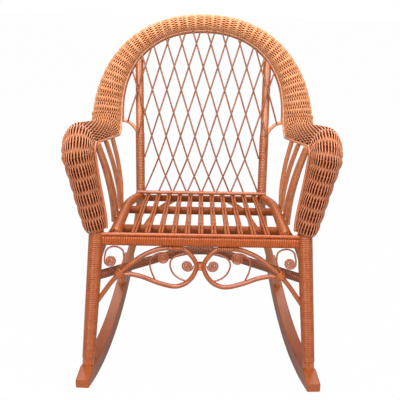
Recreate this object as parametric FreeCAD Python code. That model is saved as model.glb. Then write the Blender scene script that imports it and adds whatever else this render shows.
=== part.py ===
import FreeCAD, Part
import math
import os
from FreeCAD import Vector

# Wicker rocking chair in millimetres, facing -Y with +Z up. The origin is on the floor under the middle of its box.
# Left and right are the sitter's. Left pieces stand at +X, and right ones are their mirror images.

# Fits
touch_gap = 0.3  # between round pieces that lie against each other
tenon_clearance = 0.1  # round a tenon or a screw in its hole
overrun = 5.0  # how far a cutter passes the piece it cuts
cut_tolerance = 0.001  # how close faces lie when a cut takes them as one
bend_share = 0.45  # share of the shorter run that a bend takes up at each of its ends
straight_deg = 0.2  # a turn smaller than this is no bend

# Stance of the frame. Depths are measured backwards from the front legs.
front_leg_y = -292.0
seat_front_z = 422.0  # top of the nosing on the front rail
seat_depth = 446.0  # front legs to back posts, at the seat
seat_drop = 32.5  # fall of the seat from front to back
back_tilt_deg = 13.6
leg_foot_x = 277.6
leg_foot_forward = 17.0
leg_seat_x = 251.0
leg_top_x = 288.0
leg_top_z = 636.0
leg_top_depth = 12.0
leg_bend_above_seat = 23.0
leg_bend_reach = 15.0
post_foot_x = 255.0
post_foot_depth = 496.0
post_knee_x = 201.0
post_knee_z = 250.0
post_knee_depth = 452.0
post_seat_x = 184.0
post_bend_z = 366.0
post_bend_reach = 24.0
post_spread = 9.0  # how far a post leans outwards from the seat to its top
post_height = 390.5  # from the back rail to the hoop

# Rockers
rocker_radius = 1182.0
rocker_centre_y = -45.5
rocker_height = 41.5
rocker_thickness = 34.0
rocker_front_overhang = 71.0  # past the middle of the front leg's foot
rocker_back_overhang = 176.0  # past the middle of the rear leg's foot
rocker_nose_height = 21.0
rocker_nose_gap = 0.5  # from the front leg's foot to the slope of the nose
rocker_tail_height = 24.0
rocker_tail_gap = 44.0  # from the rear leg's foot to the taper of the tail
rocker_edge_radius = 4.0

# Poles and their cane binding
leg_radius = 14.5
leg_wrap_top_radius = 18.5
leg_wrap_foot_radius = 16.0
leg_bare_length = 20.0  # unbound stretch above the rocker
post_radius = 12.0
post_wrap_thickness = 1.6
post_wrap_length = 176.0
side_rail_radius = 10.5
side_rail_wrap_thickness = 1.5
cross_rail_radius = 11.0
back_rail_radius = 10.0
lattice_rail_radius = 5.5
bow_radius = 11.5
tenon_radius = 9.0
tenon_length = 24.0

# Front rail
front_rail_height = 26.0
front_rail_depth = 24.0
front_rail_wrap = 2.0
front_rail_round = 7.0
nosing_radius = 4.0

# Seat
slat_radius = 3.3
slat_pair_gap = 0.6
slat_pairs = 11
slat_pitch = 32.0
slat_tail = 6.0  # how far a slat passes the back rail's middle
side_rail_x = 206.0
side_rail_bow = 4.0
side_rail_above_slats = -4.0
side_rail_bow_shares = ((0.40, 0.75), (0.74, 1.0))  # share of the depth, share of the bow
front_cross_depth = 91.0
rear_cross_depth = 295.0
tie_width = 3.0
tie_thickness = 1.0
tie_overhang = 0.8

# Woven roll of the arms and the back
weave_thickness = 4.0
roll_foot_gap = 2.0  # above the front rail's nosing
arm_front_z = 604.0  # where the arm's front starts to turn back
arm_front_depth = 22.0
arm_x = 290.0
arm_half_width = 40.0
arm_height = 54.0
arm_bend_radius = 18.0
arm_slope_deg = 8.8
shoulder_radius = 22.0
roll_foot_depth = 2.0
arm_front_shares = (  # share of the height, of the arm's half width, of its height
    (0.0, 0.63, 0.48),
    (0.045, 0.68, 0.52),
    (0.13, 0.75, 0.58),
    (0.32, 0.81, 0.68),
    (0.56, 0.85, 0.80),
    (0.80, 0.92, 0.92),
    (1.0, 1.0, 1.0),
)
arm_turns = 8  # steps of the bend over the arm's front
arm_runs = 2  # steps along the straight of the arm
shoulder_turns = 8  # steps of the bend into the arch
front_bands = 5.5  # bands of the weave from stake to stake, the first one half hidden by the foot
bend_bands = 3
run_bands = 13
shoulder_bands = 4
run_gather_share = 0.27  # how much the bands along the arm gather towards its back
band_relief = 2.4  # how far the weave sinks between stakes
arch_spring_z = 600.0
arch_half_width = 288.0
arch_top_z = 888.5
arch_fullness = 2.2  # 2 is an ellipse, and more is squarer
arch_shoulder_half_width = 44.0
arch_top_half_width = 22.5
arch_shoulder_height = 40.0
arch_top_height = 30.0
arch_steps = 12  # in half of the arch
arch_probe_deg = 0.5  # half of the step that finds the arch's direction
section_steps = 8
lip_deg = 40.0  # how far the outer edge curls under
arm_edge_deg = 11.0  # how far the inner edge of an arm stops above its widest place
rim_radius = 3.4
rim_out = 1.5  # how far the middles of the rim and the hoop lie past the weave's inner edge
lip_rim_radius = 4.0
lip_gap = 0.6  # between the outer edge and its rod
hoop_radius = 6.0
hoop_foot_z = 602.0

# Arms inside
arm_rail_radius = 9.0
arm_rail_rise = 14.0  # above the roll's edges
arm_rail_run_shares = (0.15, 0.85)
spindle_radius = 6.2
spindle_foot_depths = (320.0, 285.0, 205.0, 140.0)
spindle_top_depths = (299.0, 180.0, 62.0, 38.0)
spindle_foot_drop = 5.0  # below the side rail's middle
spindle_bow = 7.0  # how far a spindle bows in from the straight line
spindle_knee_shares = (0.30, 0.66)

# Braces
brace_radius = 5.0
brace_foot_z = 553.0
brace_shares = ((0.30, 0.58), (0.64, 0.92))  # share of the way out, share of the rise
brace_rise = 49.0
bracket_radius = 6.0
bracket_leg_z = 312.0
bracket_rail_depth = 128.0
bracket_knee_shares = (0.45, 0.78)
back_brace_radius = 7.0
back_brace_leg_z = 226.0
back_brace_top_x = 74.0
back_brace_knee_shares = (0.55, 0.74)
bow_z = 304.5
bow_depth = 186.0
bow_flat_half = 38.0

# Lattice of the back
strand_radius = 2.4
lattice_pitch = 43.3
lattice_rise = 67.0  # height of half a diamond
lattice_low_rise = 50.0  # the same in the lowest rows
lattice_low_rows = 2  # crossings below the strands' bend
lattice_foot_drop = 12.0  # how far below the rail's top the lowest strands would cross
lattice_post_share = 0.75  # share of the post's radius that a strand's end stays inside its axis
lattice_probe = 1.0  # step of the search for a strand's ends

# Scrollwork under the front rail
skirt_drop = 146.0
reed_radius = 5.8
curl_radius = 2.1
rosette_radius = 15.0
rosette_pitch = 4.65
rosette_halves = 5
rosette_offset = 3.0  # how much further than touching the middle rosette stands from the waist
rail_tie_radius = 6.2
rail_tie_from_share = 0.165
rail_tie_to_share = 0.325
reed_tie_wall = 1.8
reed_tie_length = 14.0
skirt_arch_shares = ((1.0, 1.0), (0.865, 0.664), (0.789, 0.514), (0.681, 0.342), (0.554, 0.171), (0.406, 0.062))
scroll_shares = (
    (0.777, 0.527), (0.677, 0.507), (0.562, 0.548), (0.418, 0.651), (0.291, 0.712), (0.223, 0.719), (0.135, 0.664),
    (0.068, 0.541),
)
scroll_waist_drop_share = 0.349
scroll_rise_shares = ((0.068, 0.205), (0.124, 0.096))
inner_curl_shares = (
    (0.110, 0.618), (0.160, 0.606), (0.218, 0.560), (0.268, 0.475), (0.293, 0.354), (0.287, 0.262), (0.253, 0.200),
    (0.176, 0.135), (0.090, 0.150),
)
outer_curl_shares = ((0.425, 0.646), (0.474, 0.454), (0.487, 0.345), (0.482, 0.240), (0.442, 0.160))
outer_rosette_share = (0.360, 0.214)
corner_curl_shares = (
    (0.805, 0.480), (0.765, 0.384), (0.733, 0.247), (0.741, 0.096), (0.789, 0.036), (0.853, 0.030), (0.905, 0.085),
)
corner_rosette_share = (0.872, 0.282)
side_tie_share = (0.772, 0.500)

# Screws that hold the legs to the rockers
screw_radius = 2.5
screw_head_radius = 5.0
screw_head_height = 3.0
screw_length = 62.0

# Worked out from the sizes above
seat_slope = seat_drop / seat_depth
back_tilt = math.radians(back_tilt_deg)
arm_slope = math.radians(arm_slope_deg)
arm_edge = math.radians(arm_edge_deg)
arm_turn = math.pi / 2 + arm_slope
post_seat_y = front_leg_y + seat_depth
seat_back_z = seat_front_z - seat_drop
rail_top_z = seat_front_z - 2 * nosing_radius
rail_bottom_z = rail_top_z - front_rail_height
rail_middle_z = rail_top_z - front_rail_height / 2
back_normal = Vector(0, -math.cos(back_tilt), math.sin(back_tilt))
side_wrap_radius = side_rail_radius + side_rail_wrap_thickness
post_wrap_radius = post_radius + post_wrap_thickness


# Small tools


def unit(vector):
    return Vector(vector).normalize()


def between(start, end, share):
    return start + (end - start) * share


def steps(count):
    """Even shares up to the whole."""
    return [(number + 1) / count for number in range(count)]


def mirrored(shape):
    return shape.mirror(Vector(0, 0, 0), Vector(1, 0, 0))


def turned_out(shape):
    """The shape as one or more solids of positive volume."""
    return shape if shape.Volume > 0 else shape.reversed()


def largest(shape):
    return max(shape.Solids, key=lambda solid: solid.Volume)


def trimmed(shape, *cutters):
    """The main piece that is left of a shape once its neighbours are cut out of it."""
    for cutter in cutters:
        shape = largest(shape.cut(cutter, cut_tolerance))
    return shape


def bent_wire(points, reach=None):
    """Straight runs joined by tangent arcs, each as large as its two runs allow or as reach says."""
    corners = [corner for before, corner, after in zip(points, points[1:], points[2:])
               if (corner - before).getAngle(after - corner) > math.radians(straight_deg)]
    points = [points[0]] + corners + [points[-1]]
    edges = []
    start = points[0]
    for before, corner, after in zip(points, points[1:], points[2:]):
        into, out = corner - before, after - corner
        limit = bend_share * min(into.Length, out.Length)
        limit = min(limit, reach) if reach else limit
        turn = into.getAngle(out)
        radius = limit / math.tan(turn / 2)
        enter, leave = corner - unit(into) * limit, corner + unit(out) * limit
        middle = corner + unit(unit(out) - unit(into)) * radius * (1 / math.cos(turn / 2) - 1)
        edges.append(Part.LineSegment(start, enter).toShape())
        edges.append(Part.Arc(enter, middle, leave).toShape())
        start = leave
    edges.append(Part.LineSegment(start, points[-1]).toShape())
    return Part.Wire(edges)


def swept(wire, start, direction, radius):
    profile = Part.Wire(Part.makeCircle(radius, start, direction))
    return turned_out(wire.makePipeShell([profile], True, False))


def rod(points, radius, reach=None):
    return swept(bent_wire(points, reach), points[0], points[1] - points[0], radius)


def bar(start, end, radius):
    return Part.makeCylinder(radius, (end - start).Length, start, end - start)


def save(name, *solids):
    shape = solids[0] if len(solids) == 1 else Part.makeCompound(list(solids))
    shape.exportStep(os.path.join("parts", name + ".step"))


def save_pair(name, *solids):
    save("left_" + name, *solids)
    save("right_" + name, *[mirrored(solid) for solid in solids])


# Places that several pieces share


def back_point(x, z, forward=0.0):
    """A point of the leaning back, forward of the posts' middle plane."""
    rest = Vector(x, post_seat_y + (z - seat_back_z) * math.tan(back_tilt), z)
    return rest + back_normal * forward


def slat_z(y):
    """Height of the slats' axes, which clear the back edge of the front rail."""
    rail_back_y = front_leg_y + front_rail_depth / 2
    return rail_top_z + slat_radius + touch_gap + (rail_back_y - y) * seat_slope


def rocker_bottom_z(y):
    return rocker_radius - math.sqrt(rocker_radius**2 - (y - rocker_centre_y) ** 2)


def rocker_middle_x(y):
    """The rockers toe in towards the back, so that each passes under both of its legs."""
    front_y, back_y = front_leg_y - leg_foot_forward, front_leg_y + post_foot_depth
    return leg_foot_x + (post_foot_x - leg_foot_x) * (y - front_y) / (back_y - front_y)


def leg_axis():
    """Foot on the rocker, bend above the seat, and top of a front leg."""
    foot_y = front_leg_y - leg_foot_forward
    foot = Vector(leg_foot_x, foot_y, rocker_bottom_z(foot_y) + rocker_height)
    seat = Vector(leg_seat_x, front_leg_y, rail_middle_z)
    bend_z = seat_front_z + leg_bend_above_seat
    bend = between(foot, seat, (bend_z - foot.z) / (seat.z - foot.z))
    return foot, bend, Vector(leg_top_x, front_leg_y + leg_top_depth, leg_top_z)


def post_axis():
    """Foot on the rocker, knee, bend at the seat, and top of a back post."""
    foot_y = front_leg_y + post_foot_depth
    foot = Vector(post_foot_x, foot_y, rocker_bottom_z(foot_y) + rocker_height)
    knee = Vector(post_knee_x, front_leg_y + post_knee_depth, post_knee_z)
    bend = back_point(post_seat_x, post_bend_z)
    top = back_point(post_seat_x + post_spread, seat_back_z + post_height)
    return foot, knee, bend, top


def post_x(z):
    _, _, bend, top = post_axis()
    return bend.x + (top.x - bend.x) * (z - bend.z) / (top.z - bend.z)


# Woven roll: a channel that runs up the arm's front, back along the arm and over the arch


def roll_station(spine, across, normal, half_width, height, edge):
    """A section of the roll. Its edge is the angle at which the inner edge stops above the widest place."""
    return {"spine": spine, "across": across, "normal": normal, "half": half_width, "height": height, "edge": edge}


def rim_back():
    """How far behind the weave's inner edge the rim's middle lies, so that it rests on the edge's corner."""
    return math.sqrt((rim_radius + touch_gap) ** 2 - rim_out ** 2)


def arch_forward():
    """How far the arch's edges stand before the posts' plane, so that the rim lies on the hoop."""
    return hoop_radius + touch_gap + rim_radius + rim_back()


def turned_normal(angle):
    """Forwards at zero, up at a quarter turn."""
    return Vector(0, -math.cos(angle), math.sin(angle))


def along(value, places, sizes):
    """A size read off a table, on straight lines between its places."""
    for first, second, start, end in zip(places, places[1:], sizes, sizes[1:]):
        if first <= value <= second:
            return start + (end - start) * (value - first) / (second - first)
    return sizes[-1]


def front_line():
    """Foot and top of the arm's front, and how far it leans outwards."""
    foot = Vector(leg_seat_x, front_leg_y + roll_foot_depth, seat_front_z + roll_foot_gap)
    top = Vector(arm_x, front_leg_y + arm_front_depth, arm_front_z)
    return foot, top, math.atan2(top.x - foot.x, top.z - foot.z)


def front_station(share):
    """A station on the front of the left arm, from its foot up."""
    foot, top, lean = front_line()
    rises, widths, heights = zip(*arm_front_shares)
    half, height = arm_half_width * along(share, rises, widths), arm_height * along(share, rises, heights)
    across = Vector(math.cos(lean), 0, -math.sin(lean))
    return roll_station(between(foot, top, share), across, turned_normal(0), half, height, arm_edge)


def bend_station(share):
    """A station on the bend over the front of the arm."""
    _, top, lean = front_line()
    normal = turned_normal(arm_turn * share)
    easing = lean * (1 - share)
    across = Vector(math.cos(easing), 0, -math.sin(easing))
    spine = top + Vector(0, arm_bend_radius, 0) + normal * arm_bend_radius
    return roll_station(spine, across, normal, arm_half_width, arm_height, arm_edge)


def arm_run():
    """Start of the straight of the arm, and its run back to the shoulder."""
    start = bend_station(1.0)["spine"]
    backwards = Vector(0, math.cos(arm_slope), -math.sin(arm_slope))
    lift = turned_normal(arm_turn) * (arm_height + shoulder_radius)
    reach = back_normal * (arch_shoulder_height + shoulder_radius)
    plane_point = back_point(0, arch_spring_z, arch_forward())
    length = (plane_point - (start + lift - reach)).dot(back_normal) / backwards.dot(back_normal)
    return start, backwards * length


def run_station(share):
    """A station on the straight of the arm."""
    start, run = arm_run()
    half = arm_half_width + (arch_shoulder_half_width - arm_half_width) * share
    return roll_station(start + run * share, Vector(1, 0, 0), turned_normal(arm_turn), half, arm_height, arm_edge)


def shoulder_station(share):
    """A station on the bend from the arm into the arch."""
    start, run = arm_run()
    pivot = start + run + turned_normal(arm_turn) * (arm_height + shoulder_radius)
    normal = turned_normal(arm_turn - (arm_turn - back_tilt) * share)
    height = arm_height + (arch_shoulder_height - arm_height) * share
    spine = pivot - normal * (height + shoulder_radius)
    edge = arm_edge * (1 - share)
    return roll_station(spine, Vector(1, 0, 0), normal, arch_shoulder_half_width, height, edge)


def arm_stations():
    """From the foot of the arm's front to the foot of the arch, on the left."""
    stations = [front_station(rise_share) for rise_share, _, _ in arm_front_shares]
    for stretch, count in ((bend_station, arm_turns), (run_station, arm_runs), (shoulder_station, shoulder_turns)):
        stations.extend(stretch(share) for share in steps(count))
    return stations


def run_share(band_share):
    """How far along the straight of the arm a share of its bands reaches, as they gather towards its back."""
    even = 1 - run_gather_share
    return (math.sqrt(even**2 + 4 * run_gather_share * band_share) - even) / (2 * run_gather_share)


def sunk(station, depth):
    return dict(station, half=station["half"] - depth, height=station["height"] - depth)


def banded_arm():
    """Stations of the left arm with the swell of its weave, which stands out on each stake and sinks between them."""
    half_bands = [front_station(share) for share in [0.0] + steps(round(2 * front_bands))]
    half_bands.extend(bend_station(share) for share in steps(2 * bend_bands))
    half_bands.extend(run_station(run_share(share)) for share in steps(2 * run_bands))
    half_bands.extend(shoulder_station(share) for share in steps(2 * shoulder_bands))
    return [sunk(station, band_relief * ((number + 1) % 2)) for number, station in enumerate(half_bands)]


def arch_place(angle, forward):
    """Centre line of the arch, a squarish ellipse in the leaning plane of the back."""

    def squared_off(value):
        return math.copysign(abs(value) ** (2 / arch_fullness), value)

    x = arch_half_width * squared_off(math.cos(angle))
    z = arch_spring_z + (arch_top_z - arch_spring_z) * squared_off(math.sin(angle))
    return back_point(x, z, forward)


def arch_station(angle, forward):
    """A station of the arch. At a quarter turn it is the middle of the top."""
    place = arch_place(angle, forward)
    step = math.radians(arch_probe_deg)
    tangent = unit(arch_place(angle + step, forward) - arch_place(angle - step, forward))
    rise = (place.z - back_point(0, arch_spring_z, forward).z) / (arch_top_z - arch_spring_z)
    half = arch_top_half_width + (arch_shoulder_half_width - arch_top_half_width) * max(0, 1 - rise)
    height = arch_shoulder_height + (arch_top_height - arch_shoulder_height) * rise
    return roll_station(place, unit(back_normal.cross(tangent)) * -1, Vector(back_normal), half, height, 0.0)


def arch_first_angle():
    """The angle at which the arch meets the shoulder."""
    rise = arm_stations()[-1]["spine"].z - back_point(0, arch_spring_z, arch_forward()).z
    return math.asin((rise / (arch_top_z - arch_spring_z)) ** (arch_fullness / 2))


def arch_half_stations():
    """The left half of the arch, from the shoulder up to the middle of the top."""
    first = arch_first_angle()
    angles = [first + (math.pi / 2 - first) * share for share in steps(arch_steps)]
    return [arm_stations()[-1]] + [arch_station(angle, arch_forward()) for angle in angles]


def flipped(station):
    """The same station on the right."""
    spine, across = station["spine"], station["across"]
    return dict(
        station,
        spine=Vector(-spine.x, spine.y, spine.z),
        across=Vector(-across.x, across.y, across.z),
    )


def section_point(station, angle, inset):
    """A point of a station's channel: zero is the outer side, a quarter turn the crown, a half turn the inner side."""
    wide = (station["half"] - inset) * math.cos(angle)
    high = (station["height"] - inset) * math.sin(angle)
    return station["spine"] + station["across"] * wide + station["normal"] * high


def section_curve(station, inset, backwards):
    first, last = -math.radians(lip_deg), math.pi - station["edge"]
    angles = [first + (last - first) * step / section_steps for step in range(section_steps + 1)]
    curve = Part.BSplineCurve()
    curve.interpolate([section_point(station, angle, inset) for angle in (angles[::-1] if backwards else angles)])
    return curve.toShape()


def section_wire(station):
    outside = section_curve(station, 0.0, False)
    inside = section_curve(station, weave_thickness, True)
    inner_edge = Part.LineSegment(outside.Vertexes[-1].Point, inside.Vertexes[0].Point).toShape()
    outer_edge = Part.LineSegment(inside.Vertexes[-1].Point, outside.Vertexes[0].Point).toShape()
    return Part.Wire([outside, inner_edge, inside, outer_edge])


def channel(stations, ruled):
    return turned_out(Part.makeLoft([section_wire(station) for station in stations], True, ruled))


def rim_point(station):
    """Middle of the rod along the inner edge, which rests on the edge's inner corner."""
    corner = section_point(station, math.pi - station["edge"], 0.0)
    return corner - station["across"] * rim_out - station["normal"] * rim_back()


def lip_rim_point(station):
    """Middle of the rod along the outer edge, past the end of its curl."""
    angle = -math.radians(lip_deg)
    half, height = station["half"] - weave_thickness / 2, station["height"] - weave_thickness / 2
    edge = station["spine"] + station["across"] * half * math.cos(angle) + station["normal"] * height * math.sin(angle)
    onward = station["across"] * half * math.sin(angle) - station["normal"] * height * math.cos(angle)
    return edge + unit(onward) * (lip_rim_radius + lip_gap)


def whole_roll():
    """Every station from the foot of the right arm's front to that of the left one."""
    half = arm_stations()[:-1] + arch_half_stations()
    return [flipped(station) for station in half] + half[-2::-1]


# Frame


def make_rocker():
    """A board cut to an arc, with a sloped nose and a long tapered tail, toed in to follow its legs."""
    front_foot_y, back_foot_y = front_leg_y - leg_foot_forward, front_leg_y + post_foot_depth
    front_y, back_y = front_foot_y - rocker_front_overhang, back_foot_y + rocker_back_overhang
    nose_y = front_foot_y - leg_radius - rocker_nose_gap
    tail_y = back_foot_y + post_radius + rocker_tail_gap

    def low(y):
        return Vector(0, y, rocker_bottom_z(y))

    def high(y, height):
        return Vector(0, y, rocker_bottom_z(y) + height)

    bottom = Part.Arc(low(front_y), low(rocker_centre_y), low(back_y)).toShape()
    tail_end = Part.LineSegment(low(back_y), high(back_y, rocker_tail_height)).toShape()
    tail = Part.LineSegment(high(back_y, rocker_tail_height), high(tail_y, rocker_height)).toShape()
    middle_y = (nose_y + tail_y) / 2
    top = Part.Arc(high(tail_y, rocker_height), high(middle_y, rocker_height), high(nose_y, rocker_height)).toShape()
    nose = Part.LineSegment(high(nose_y, rocker_height), high(front_y, rocker_nose_height)).toShape()
    nose_end = Part.LineSegment(high(front_y, rocker_nose_height), low(front_y)).toShape()
    outline = Part.Wire([bottom, tail_end, tail, top, nose, nose_end])
    board = Part.Face(outline).extrude(Vector(rocker_thickness, 0, 0))
    board = board.makeFillet(rocker_edge_radius, [edge for edge in board.Edges if len_across(edge) < rocker_thickness])
    board.translate(Vector(rocker_middle_x(0) - rocker_thickness / 2, 0, 0))
    toe = math.degrees(math.atan2(rocker_middle_x(front_y) - rocker_middle_x(back_y), back_y - front_y))
    board.rotate(Vector(rocker_middle_x(0), 0, 0), Vector(0, 0, 1), toe)
    return board


def len_across(edge):
    return edge.BoundBox.XLength


def tenon(axis, radius, length):
    """A round tenon that goes on from an axis's first point into the rocker."""
    foot, above = axis[0], axis[1]
    return bar(foot, foot + unit(foot - above) * length, radius)


def make_pole(axis, radius, rocker, reach):
    """A pole that stands on the rocker, with a round tenon in it."""
    into_rocker = axis[0] + unit(axis[0] - axis[1]) * rocker_height / 2
    body = trimmed(rod([into_rocker] + list(axis[1:]), radius, reach), rocker)
    return body.fuse(tenon(axis, tenon_radius, tenon_length)).removeSplitter()


def make_leg_wrap():
    """Cane binding on a front leg, from above the rocker to the woven front of the arm."""
    foot, bend, _ = leg_axis()
    length = (bend - foot).Length
    up = unit(bend - foot)
    start = foot + up * leg_bare_length
    wrap_length = (seat_front_z - foot.z) / up.z - leg_bare_length
    cone = Part.makeCone(leg_wrap_foot_radius, leg_wrap_top_radius, wrap_length, start, up)
    return cone.cut(bar(foot, foot + up * length, leg_radius))


def post_envelope():
    """The bound stretch of a back post above the seat, out to the face of its binding."""
    _, _, bend, top = post_axis()
    up = unit(top - bend)
    start = bend + up * (post_bend_reach + overrun)
    return bar(start, start + up * post_wrap_length, post_wrap_radius)


def make_post_wrap(post):
    """Cane binding on the lower part of a back post, above the seat."""
    return post_envelope().cut(post)


def hoop_point(station):
    """Middle of the hoop behind the inner edge of the arch."""
    return station["spine"] - station["across"] * (station["half"] + rim_out)


def hoop_angle_at(x):
    """The angle of the arch at which the hoop is at a given distance from the middle."""
    low, high = math.radians(arch_probe_deg), math.pi / 2
    while high - low > math.radians(arch_probe_deg) / post_height:
        middle = (low + high) / 2
        low, high = (middle, high) if hoop_point(arch_station(middle, 0.0)).x > x else (low, middle)
    return low


def past_hoop():
    """Everything beyond the hoop's underside, where a post meets it."""
    station = arch_station(hoop_angle_at(post_seat_x + post_spread), 0.0)
    outward = station["across"]
    face_middle = hoop_point(station) - outward * (hoop_radius + touch_gap)
    block = Part.makeBox(post_height, post_height, post_height, Vector(-post_height / 2, -post_height / 2, 0))
    block.Placement = FreeCAD.Placement(face_middle, FreeCAD.Rotation(Vector(0, 0, 1), outward))
    return block


def make_hoop():
    """Bent pole behind the inner edge of the arch, from shoulder to shoulder."""
    foot = hoop_point(arch_station(0.0, 0.0))
    foot = foot + Vector(0, 0, hoop_foot_z - foot.z)
    first = arch_first_angle()
    angles = [first] + [first + (math.pi / 2 - first) * share for share in steps(arch_steps)]
    half = [foot] + [hoop_point(arch_station(angle, 0.0)) for angle in angles]
    other = [Vector(-point.x, point.y, point.z) for point in half[-2::-1]]
    return rod(half + other, hoop_radius)


# Seat


def make_front_rail():
    """Flat-sided pole between the front legs, the binding round it, and both as neighbours meet them."""

    def block(depth, height, rounding):
        corner = Vector(-leg_seat_x, front_leg_y - depth / 2, rail_middle_z - height / 2)
        shape = Part.makeBox(2 * leg_seat_x, depth, height, corner)
        return shape.makeFillet(rounding, [edge for edge in shape.Edges if len_across(edge) > leg_seat_x])

    outer = block(front_rail_depth, front_rail_height, front_rail_round)
    core = block(
        front_rail_depth - 2 * front_rail_wrap,
        front_rail_height - 2 * front_rail_wrap,
        front_rail_round - front_rail_wrap,
    )
    return core, outer.cut(core), outer


def leg_envelope():
    """A front leg with its binding, as neighbours meet it."""
    foot, bend, _ = leg_axis()
    up = unit(bend - foot)
    length = (seat_front_z - foot.z) / up.z
    return Part.makeCone(leg_wrap_foot_radius, leg_wrap_top_radius, length, foot, up)


def side_rail_points():
    """From the front rail, bowing out a little, to the back post."""
    start_y = front_leg_y + front_rail_depth / 2

    def place(x, y):
        return Vector(x, y, slat_z(y) + side_rail_above_slats)

    points = [place(side_rail_x, start_y)]
    for depth_share, bow_share in side_rail_bow_shares:
        points.append(place(side_rail_x + side_rail_bow * bow_share, start_y + seat_depth * depth_share))
    return points + [place(post_seat_x, post_seat_y)]


def make_side_rail(neighbours):
    """The rail and the binding round it, both coped to the post and the front rail."""
    points = side_rail_points()
    core = rod(points, side_rail_radius)
    bound = trimmed(rod(points, side_wrap_radius), *neighbours)
    return trimmed(core, *neighbours), bound.cut(core)


def make_cross_rail(depth, side_envelopes):
    y = front_leg_y + depth
    z = slat_z(y) - slat_radius - cross_rail_radius - touch_gap
    return trimmed(bar(Vector(-side_rail_x, y, z), Vector(side_rail_x, y, z), cross_rail_radius), *side_envelopes)


def back_rail_z():
    return slat_z(post_seat_y) - slat_radius - back_rail_radius - touch_gap


def make_back_rail(neighbours):
    z = back_rail_z()
    ends = Vector(post_seat_x, post_seat_y, z)
    return trimmed(bar(Vector(-ends.x, ends.y, ends.z), ends, back_rail_radius), *neighbours)


def lattice_rail_axis():
    """The rod on the slats' tails that the lattice stands on, in front of the posts."""
    y = post_seat_y - post_wrap_radius - lattice_rail_radius - touch_gap
    return y, slat_z(y) + slat_radius + lattice_rail_radius + touch_gap


def make_slats():
    """Pairs of reeds from behind the nosing to the back rail."""
    front_y = front_leg_y - front_rail_depth / 2 + 2 * nosing_radius + 2 * touch_gap
    back_y = post_seat_y + slat_tail
    pairs = []
    for number in range(slat_pairs):
        middle = (number - (slat_pairs - 1) / 2) * slat_pitch
        offset = slat_radius + slat_pair_gap / 2
        pairs.append(
            [bar(Vector(x, front_y, slat_z(front_y)), Vector(x, back_y, slat_z(back_y)), slat_radius)
             for x in (middle - offset, middle + offset)]
        )
    return pairs


def make_slat_ties():
    """Strips that cross each pair of slats over the cross rails."""
    ties = []
    length = 4 * slat_radius + slat_pair_gap + 2 * tie_overhang
    for depth in (front_cross_depth, rear_cross_depth):
        y = front_leg_y + depth
        for number in range(slat_pairs):
            middle = (number - (slat_pairs - 1) / 2) * slat_pitch
            strip = Part.makeBox(length, tie_width, tie_thickness, Vector(-length / 2, -tie_width / 2, 0))
            strip.rotate(Vector(0, 0, 0), Vector(1, 0, 0), -math.degrees(math.atan(seat_slope)))
            strip.translate(Vector(middle, y, slat_z(y) + slat_radius / math.cos(math.atan(seat_slope))))
            ties.append(strip)
    return ties


# Arms and braces


def make_arm_rail(leg, roll):
    """Pole inside the arm's roll, from the leg's top to the side of the hoop's foot."""
    leg_top = leg_axis()[-1]
    rise = turned_normal(arm_turn) * arm_rail_rise
    knees = [run_station(share)["spine"] + rise for share in arm_rail_run_shares]
    beside_hoop = hoop_radius + arm_rail_radius + touch_gap
    tail = hoop_point(arch_station(0.0, 0.0)) + Vector(beside_hoop, arm_rail_radius, arm_rail_radius)
    head = Vector(leg_top.x, leg_top.y, leg_top.z - leg_radius)
    return trimmed(rod([head] + knees + [tail], arm_rail_radius), leg, roll)


def rim_at_depth(depth):
    """The inner rim's middle along the arm, at a depth behind the front legs."""
    y = front_leg_y + depth
    stations = arm_stations()
    for first, second in zip(stations, stations[1:]):
        start, end = rim_point(first), rim_point(second)
        if start.y <= y <= end.y:
            return between(start, end, (y - start.y) / (end.y - start.y))
    return rim_point(stations[-1])


def make_spindles(rim_rod, rail_cover):
    """Reeds from the outside of the side rail up to the arm's inner rim."""
    spindles = []
    for foot_depth, top_depth in zip(spindle_foot_depths, spindle_top_depths):
        rim = rim_at_depth(top_depth)
        foot_y = front_leg_y + foot_depth
        rail_z = slat_z(foot_y) + side_rail_above_slats
        foot_x = side_x_at(foot_y) + side_wrap_radius + spindle_radius + touch_gap
        foot = Vector(foot_x, foot_y, rail_z - spindle_foot_drop)
        above = Vector(foot_x, foot_y, rail_z + spindle_foot_drop)
        top = rim - Vector(0, 0, rim_radius + touch_gap)
        knees = [between(above, top, share) - Vector(spindle_bow, 0, 0) for share in spindle_knee_shares]
        spindles.append(trimmed(rod([foot, above] + knees + [top], spindle_radius), rim_rod, rail_cover))
    return spindles


def side_x_at(y):
    """Middle of the side rail at a given depth, on the straight runs between its bends."""
    points = side_rail_points()
    for first, second in zip(points, points[1:]):
        if first.y <= y <= second.y:
            return between(first, second, (y - first.y) / (second.y - first.y)).x
    return points[-1].x


def brace_places():
    """Distance from the middle and height of each bend of the shoulder brace, from the post out to the hoop."""
    foot_x = post_x(brace_foot_z)
    reach = hoop_point(arch_station(0.0, 0.0)).x - foot_x
    shares = ((0.0, 0.0),) + brace_shares + ((1.0, 1.0),)
    return [(foot_x + reach * out_share, brace_foot_z + brace_rise * rise_share) for out_share, rise_share in shares]


def make_shoulder_brace(neighbours):
    """Bent reed from a post's binding out to the foot of the hoop."""
    return trimmed(rod([back_point(x, z) for x, z in brace_places()], brace_radius), *neighbours)


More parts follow.
